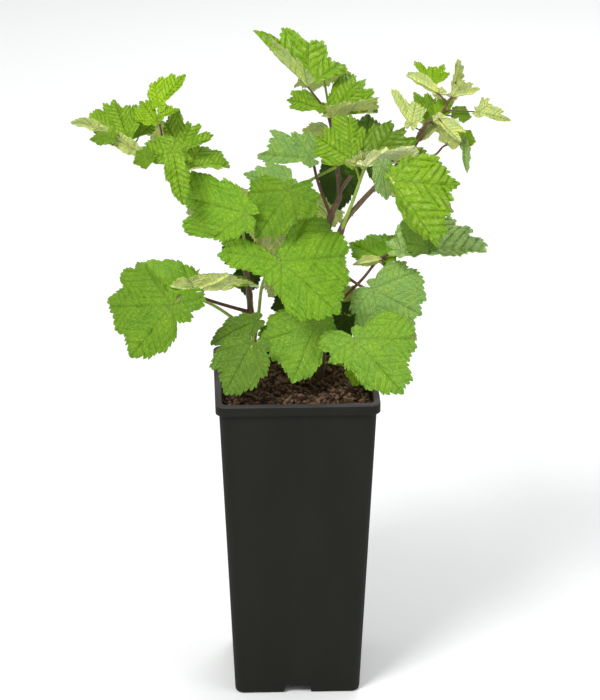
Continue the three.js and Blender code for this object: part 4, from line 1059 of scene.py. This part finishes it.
RED_STALKS = {
    "leaf_left_low", "leaf_right_far", "leaf_middle_left", "leaf_left_behind", "leaf_right_low",
    "shoot_tip_middle", "shoot_tip_right", "leaf_tip_right_low", "leaf_tip_left_top",
}
FULL_PIECE = 130000  # triangles: a joined piece that has more takes no further spray
CANE_TUBE = {"step": 1.1, "sides": 28}
CANE_FLARE = (0.3, 0.05)  # share of the radius, and of the length over which it fades
SWELLING = {"height": 0.16, "half_length": 3.2, "most": 0.3}  # where a stalk leaves, as shares of the radius
RIDGES = ((5, 0.035, 0), (9, 0.02, 8))  # how many round the cane, height, and how far they wind
KNOTS = ((3.1, 0.02), (1.3, 0.015))  # mm, and height
PRICKLE_PITCH = 6.5
LOWEST_PRICKLE, HIGHEST_PRICKLE = 6, 0.97  # mm above the foot, and share of the cane's length
PRICKLE_REACH = (1.1, 2.1)
PRICKLE_SIDES = 6
PRICKLE_RADII = (0.55, 0.22)  # in the bark and halfway up
PRICKLE_HOOK = 0.7  # mm that the tip lies back
PRICKLE_COLOURS = ((96, 52, 44), (150, 112, 72))


def make_leaves(sprays):
    groups = {}
    for number, (name, row) in enumerate(sprays.items()):
        pieces = groups.setdefault(SLOTS[name], [])
        if not pieces or pieces[-1][0].triangles() > FULL_PIECE:
            pieces.append((Batch(), []))
        batch, nodes = pieces[-1]
        nodes.append(name)
        for position, blade in enumerate(row["leaves"]):
            batch.add(*blade_mesh(blade, np.random.default_rng(1000 * number + position)))
    materials = [leaf_material(name, *colours) for name, colours in TONES.items()]
    for slot, pieces in groups.items():
        for number, (batch, nodes) in enumerate(pieces, 1):
            batch.build(f"{slot.replace('leaf', 'leaves')}_{number}", materials, slot, nodes)


def blade_root(blade, radius, coming_from):
    """The end of a leaf's stalk: below the blade's base, then against the midrib from beneath."""
    face = blade["frame"][2]
    steep = max(0, normalised(blade["base"] - coming_from).dot(face))
    root = blade_points(blade, np.array([ROOT_DEPTH * blade["length"]]), np.zeros(1))[0]
    return [point - (radius + GROOVE * blade["length"] + gap + more * steep) * face
            for point, (gap, more) in ((blade["base"], BASE_GAP), (root, ROOT_GAP))]


def fork_to(stalk, base):
    """Where a leaf's own stalk leaves the main one: some way back from the point nearest to the leaf."""
    samples = stalk.at(np.linspace(0, 1, FORK_SAMPLES + 1))
    distances = np.linalg.norm(samples - base, axis=1)
    nearest = int(distances.argmin())
    back = round(FORK_SAMPLES * FORK_DROP * distances[nearest] / stalk.length())
    return samples[max(round(FORK_SAMPLES * FIRST_FORK), nearest - back)]


def stalk_radius(start, end, flare):
    """A leaf stalk's radius: flared at its foot, with a shallow channel along its top."""
    def at(t, angle):
        radius = start + (end - start) * t + flare * start * math.exp(-t * FLARE_FADE)
        return radius * (1 - CHANNEL_DEPTH * np.exp(-((np.cos(angle) - 1) / CHANNEL_WIDTH) ** 2))
    return at


def make_stalks(sprays):
    batches = {colour: Batch() for colour in STALKS}
    for name, row in sprays.items():
        batch = batches["red" if name in RED_STALKS else "green"]
        leaves, (start, end) = row["leaves"], row["radius"]
        _, foot = cane_at_height(CANES[row["cane"]], row["from"])
        route = [foot, *map(np.array, row["stalk"])]
        if len(leaves) == 1:
            route += blade_root(leaves[0], end, route[-1])
        stalk = Curve(route)
        batch.add(*tube(stalk, radius_at=stalk_radius(start, end, MAIN_FLARE), **MAIN_TUBE))
        for blade in leaves if len(leaves) > 1 else ():
            tip = SIDE_STALK_TIP["small" if blade["length"] < SMALL_LEAF else "large"]
            fork = fork_to(stalk, blade["base"])
            side = Curve([fork, *blade_root(blade, tip, fork)])
            radius_at = stalk_radius(SIDE_STALK_FOOT * end, tip, SIDE_FLARE)
            batch.add(*tube(side, radius_at=radius_at, **SIDE_TUBE))
    for colour, (base, tip, slot) in STALKS.items():
        batches[colour].build("leaf_stalks_" + colour, [stalk_material("stalk_" + colour, base, tip)], slot)


def cane_radius(cane, joints, rooted, phases):
    """A cane's radius: tapered, flared at its foot, swollen where stalks leave it, ridged and knotty."""
    start, end = cane["radius"]
    length = cane["curve"].length()

    def at(t, angle):
        flare = 1 + CANE_FLARE[0] * max(0, 1 - t / CANE_FLARE[1]) if rooted else 1
        swell = sum(SWELLING["height"] * math.exp(-((t - joint) * length / SWELLING["half_length"]) ** 2)
                    for joint in joints)
        relief = sum(height * np.cos(count * angle + phase + wind * t)
                     for (count, height, wind), phase in zip(RIDGES, phases))
        relief += sum(height * math.sin(t * length / wave + phase)
                      for (wave, height), phase in zip(KNOTS, phases[len(RIDGES):]))
        return (start + (end - start) * t) * flare * (1 + min(SWELLING["most"], swell)) * (1 + relief)
    return at


def make_canes(sprays):
    bark = bark_material()
    prickles = Batch()
    rng = np.random.default_rng(77)
    for name, cane in CANES.items():
        rooted = name != "middle_branch"
        curve, (start, end) = cane["curve"], cane["radius"]
        joints = [cane_at_height(cane, row["from"])[0] for row in sprays.values() if row["cane"] == name]
        radius_at = cane_radius(cane, joints, rooted, rng.uniform(0, 6, len(RIDGES) + len(KNOTS)))
        batch = Batch()
        batch.add(*tube(curve, radius_at=radius_at, level=FOOT_Z if rooted else None, **CANE_TUBE))
        batch.build(name + "_bark", [bark], "cane", [name])
        lowest = cane_at_height(cane, FOOT_Z + LOWEST_PRICKLE)[0] if rooted else 0.1
        step = PRICKLE_PITCH / curve.length()
        for t in np.arange(lowest, HIGHEST_PRICKLE, step):
            t += rng.uniform(-0.3, 0.3) * step
            add_prickle(prickles, curve, t, start + (end - start) * t, rng)
    prickles.build("cane_prickles", [stalk_material("prickle", *PRICKLE_COLOURS)], "cane")


def add_prickle(batch, curve, t, radius, rng):
    """A small hooked spine: a wide ring in the bark, a narrow one halfway up, and its tip."""
    along = normalised(curve.at(min(1, t + 0.01)) - curve.at(max(0, t - 0.01)))
    out = normalised(np.cross(along, rng.normal(size=3)))
    aside = np.cross(along, out)
    foot = curve.at(t) + out * radius * 0.8
    reach = rng.uniform(*PRICKLE_REACH)
    side, angles = np.arange(PRICKLE_SIDES), all_round(PRICKLE_SIDES)
    wide = foot + PRICKLE_RADII[0] * ring_of(angles, along * 1.5, aside)
    narrow = foot + out * reach / 2 - along * 0.25 + PRICKLE_RADII[1] * ring_of(angles, along, aside)
    tip = foot + out * reach - along * PRICKLE_HOOK
    upper = PRICKLE_SIDES + side
    batch.add(np.vstack([wide, narrow, tip]), np.vstack([
        bands(2, PRICKLE_SIDES),
        triangles(upper, np.roll(upper, -1), 2 * PRICKLE_SIDES),
        triangles(0, side[2:], side[1:-1]),
    ]))


# ---------------------------------------------------------------- pot

POT = {
    "foot_half": 44.75, "top_half": 55, "rim_half": 57.5, "rim_depth": 7.5, "rim_inside": 52.8,
    "wall": 1.3, "corner": 6.5, "floor": 9, "foot_round": 2.2, "rim_round": 1.0, "inner_round": 0.8,
}
NOTCH = {"foot": 19.5, "roof": 17, "height": 7, "inner": 10.75, "past": 10, "hole_radius": 4, "hole_at": 27}
WALL_START, WALL_ROWS = 3.8, 24
CORNER_STEPS = 12
HOLE_SIDES = 32
POT_SHARP = 35
LIT_RIM_FACE = POT_HEIGHT - 1.1  # faces above this height take a lighter copy of the pot's plastic: painted light on the rim's top, which faces the lamps
PLASTICS = {  # low, high, worn and pitted places
    "pot_plastic": ((26, 27, 22), (31, 32, 27), (46, 45, 42), (14, 15, 12)),
    # The pot's plastic made lighter: painted light on the rim's top.
    "pot_plastic_painted_light": ((54, 52, 52), (66, 63, 64), (88, 85, 86), (34, 33, 33)),
}


def square_ring(half, z, corner):
    """A level square with rounded corners."""
    ring = []
    for quarter in range(4):
        middle = (quarter + 0.5) * math.pi / 2
        x, y = math.copysign(half - corner, math.cos(middle)), math.copysign(half - corner, math.sin(middle))
        for step in range(CORNER_STEPS + 1):
            angle = (quarter + step / CORNER_STEPS) * math.pi / 2
            ring.append((x + corner * math.cos(angle), y + corner * math.sin(angle), z))
    return ring


def wall_half(z):
    return POT["foot_half"] + (POT["top_half"] - POT["foot_half"]) * z / (POT_HEIGHT - POT["rim_depth"])


def rounded(half, z, corner, radius, start, end, steps):
    """Rings round an edge of the pot: an arc about a point at that distance and height."""
    arc = ring_of(np.radians(np.linspace(start, end, steps + 1)), (radius, 0), (0, radius))
    return [(half + out, z + up, corner + out) for out, up in arc]


def make_pot():
    wall, corner, rim, inside = POT["wall"], POT["corner"], POT["rim_half"], POT["rim_inside"]
    foot, lip, inner = POT["foot_round"], POT["rim_round"], POT["inner_round"]
    skirt = POT_HEIGHT - POT["rim_depth"]
    ledge = POT_HEIGHT - wall
    profile = [
        *rounded(POT["foot_half"] - foot, foot, corner - foot, foot, -90, 0, 5),
        *((wall_half(z), z, corner) for z in np.linspace(WALL_START, skirt - 0.3, WALL_ROWS)),
        (wall_half(ledge), ledge, corner), (rim - wall, ledge, corner),
        *rounded(rim - wall / 2, skirt + wall / 2, corner, wall / 2, -180, 0, 6),
        *rounded(rim - lip, POT_HEIGHT - lip, corner - 0.4, lip, 0, 90, 4),
        *rounded(inside + inner, POT_HEIGHT - inner, corner - 1.2, -inner, -90, 0, 4),
        (inside, skirt, corner - 1.5), (wall_half(POT["floor"]) - wall, POT["floor"], corner - 1),
    ]
    batch = Batch()
    batch.add(*lofted([square_ring(*row) for row in profile]))
    materials = [plastic_material(name, *colours) for name, colours in PLASTICS.items()]
    pot = batch.build("pot_shell", materials, "pot", ["pot"], POT_SHARP)
    cutters = Batch()
    for quarter in range(4):
        for rings in (notch_rings(), hole_rings()):
            points, faces = lofted(rings)
            cutters.add(turned(points, quarter * math.pi / 2, 0, 1), faces)
    cut(pot, cutters)


def notch_rings():
    """The open notch in the middle of a foot edge, with bevelled upper corners."""
    foot, roof, height = NOTCH["foot"] / 2, NOTCH["roof"] / 2, NOTCH["height"]
    half = [(foot + 0.4, -1), (roof + 0.3, height - 1.2), (roof - 0.9, height)]
    section = half + [(-y, z) for y, z in half[::-1]]
    return [[(x, y, z) for y, z in section] for x in (NOTCH["inner"], POT["foot_half"] + NOTCH["past"])]


def hole_rings():
    """A drain hole, from inside the notch up through the floor."""
    disk = NOTCH["hole_radius"] * ring_of(all_round(HOLE_SIDES), (1, 0, 0), (0, 1, 0))
    return [disk + (NOTCH["hole_at"], 0, z) for z in (NOTCH["height"] - 2, POT["floor"] + 2)]


def cut(piece, cutters):
    tool = cutters.build("cutters", [], "pot")
    modifier = piece.modifiers.new("cut", "BOOLEAN")
    modifier.operation = "DIFFERENCE"
    modifier.solver = "EXACT"
    modifier.object = tool
    bpy.context.view_layer.update()
    result = bpy.data.meshes.new_from_object(piece.evaluated_get(bpy.context.evaluated_depsgraph_get()))
    piece.modifiers.clear()
    piece.data = result
    for face in result.polygons:
        # the rim's top faces take the lighter copy of the plastic: painted light
        face.material_index = int(face.center[2] > LIT_RIM_FACE * MM)
    result.set_sharp_from_angle(angle=math.radians(POT_SHARP))
    bpy.data.objects.remove(tool)


# ---------------------------------------------------------------- soil

SOIL_HALF = POT["rim_inside"] - 0.25
SOIL_CORNER = 4.0
SOIL_POINTS = 91  # along each side
SOIL_GRAIN = 0.28
SOIL_PLAY, SOIL_FOOT = 0.6, POT["floor"] + 0.4
CRUMBS = 2600
CRUMB_MARGIN = 2.2
CRUMB_SIZES = (0.7, 2.5)
PEAT = ((26, 19, 13), (80, 62, 44))
CRUMB_COLOURS = {
    "crumb_dark": ((24, 18, 13), (66, 49, 36)),
    "crumb_brown": ((60, 43, 30), (122, 94, 72)),
    "crumb_bark": ((74, 52, 37), (150, 118, 92)),
}
BARK_CRUMB = 2
CRUMB = np.array([(1, 0, 0), (-1, 0, 0), (0, 1, 0), (0, -1, 0), (0, 0, 1), (0, 0, -1)], float)
CRUMB_FACES = [(0, 2, 4), (2, 1, 4), (1, 3, 4), (3, 0, 4), (2, 0, 5), (1, 2, 5), (3, 1, 5), (0, 3, 5)]


def soil_height(x, y):
    """Level at the rim, crowned in the middle and lumpy."""
    crown = smoothstep((50 - np.maximum(np.abs(x), np.abs(y))) / 14)
    lumps = (np.sin(x * 0.23 + 1.3) * np.sin(y * 0.19 + 0.4) * 1.1 + np.sin(x * 0.61 + y * 0.37) * 0.5
             + np.sin(x * 0.9 - y * 1.1 + 2) * 0.35 + np.sin(x * 1.7 + 1) * np.sin(y * 1.9) * 0.3)
    return SOIL_EDGE + (SOIL_CROWN - SOIL_EDGE) * crown + lumps * 1.1 - 0.6


def make_soil():
    rng = np.random.default_rng(5)
    n = SOIL_POINTS
    x, y = np.meshgrid(*[np.linspace(-SOIL_HALF, SOIL_HALF, n)] * 2)
    past_x, past_y = (np.maximum(np.abs(value) - SOIL_HALF + SOIL_CORNER, 0) for value in (x, y))
    pulled = 1 - SOIL_CORNER / np.maximum(np.hypot(past_x, past_y), SOIL_CORNER)
    x, y = x - np.sign(x) * past_x * pulled, y - np.sign(y) * past_y * pulled
    z = soil_height(x, y) + rng.normal(0, SOIL_GRAIN, x.shape)
    top = np.stack([x, y, z], -1).reshape(-1, 3)

    side = np.arange(n - 1)
    k = (side[:, None] * n + side).ravel()
    border = np.concatenate([side, side * n + n - 1, n * n - 1 - side, (n - 1 - side) * n])
    narrow = (wall_half(POT["floor"]) - POT["wall"] - SOIL_PLAY) / SOIL_HALF
    foot = top[border] * (narrow, narrow, 0) + (0, 0, SOIL_FOOT)
    low = len(top) + np.arange(len(border))
    faces = [
        quads(k, k + 1, k + n + 1, k + n),
        quads(border, low, np.roll(low, -1), np.roll(border, -1)),
        triangles(low[-1] + 1, np.roll(low, -1), low),
    ]
    batch = Batch()
    batch.add(np.vstack([top, foot, foot.mean(0)]), np.vstack(faces))
    batch.build("soil_bed", [soil_material("peat", *PEAT)], "soil", ["soil"], 60)
    make_crumbs(rng)


def make_crumbs(rng):
    crumbs = Batch()
    for _ in range(CRUMBS):
        place = rng.uniform(CRUMB_MARGIN - SOIL_HALF, SOIL_HALF - CRUMB_MARGIN, 2)
        size = rng.uniform(*CRUMB_SIZES) ** 1.15
        material = int(rng.integers(0, len(CRUMB_COLOURS)))
        add_crumb(crumbs, (*place, soil_height(*place) + 0.25 * size), size, material, rng)
    materials = [soil_material(name, *colours) for name, colours in CRUMB_COLOURS.items()]
    crumbs.build("soil_crumbs", materials, "soil", sharp=180)


def add_crumb(batch, centre, size, material, rng):
    """One lump or splinter of bark."""
    stretch = [rng.uniform(*((1, 2.6) if material == BARK_CRUMB else (0.8, 1.4))),
               rng.uniform(0.5, 1), rng.uniform(0.35, 0.8)]
    turn, tip = rng.uniform(0, 2 * math.pi), rng.uniform(-0.5, 0.5)
    points = CRUMB * rng.uniform(0.7, 1.2, (6, 1)) * stretch * size
    batch.add(turned(turned(points, tip, 2, 0), turn, 0, 1) + centre, CRUMB_FACES, materials=material)


# ---------------------------------------------------------------- assembly

make_camera()
make_lights()
make_floor()

sprays = {**SPRAYS, **far_sprays()}
make_leaves(sprays)
make_stalks(sprays)
make_canes(sprays)
make_pot()
make_soil()
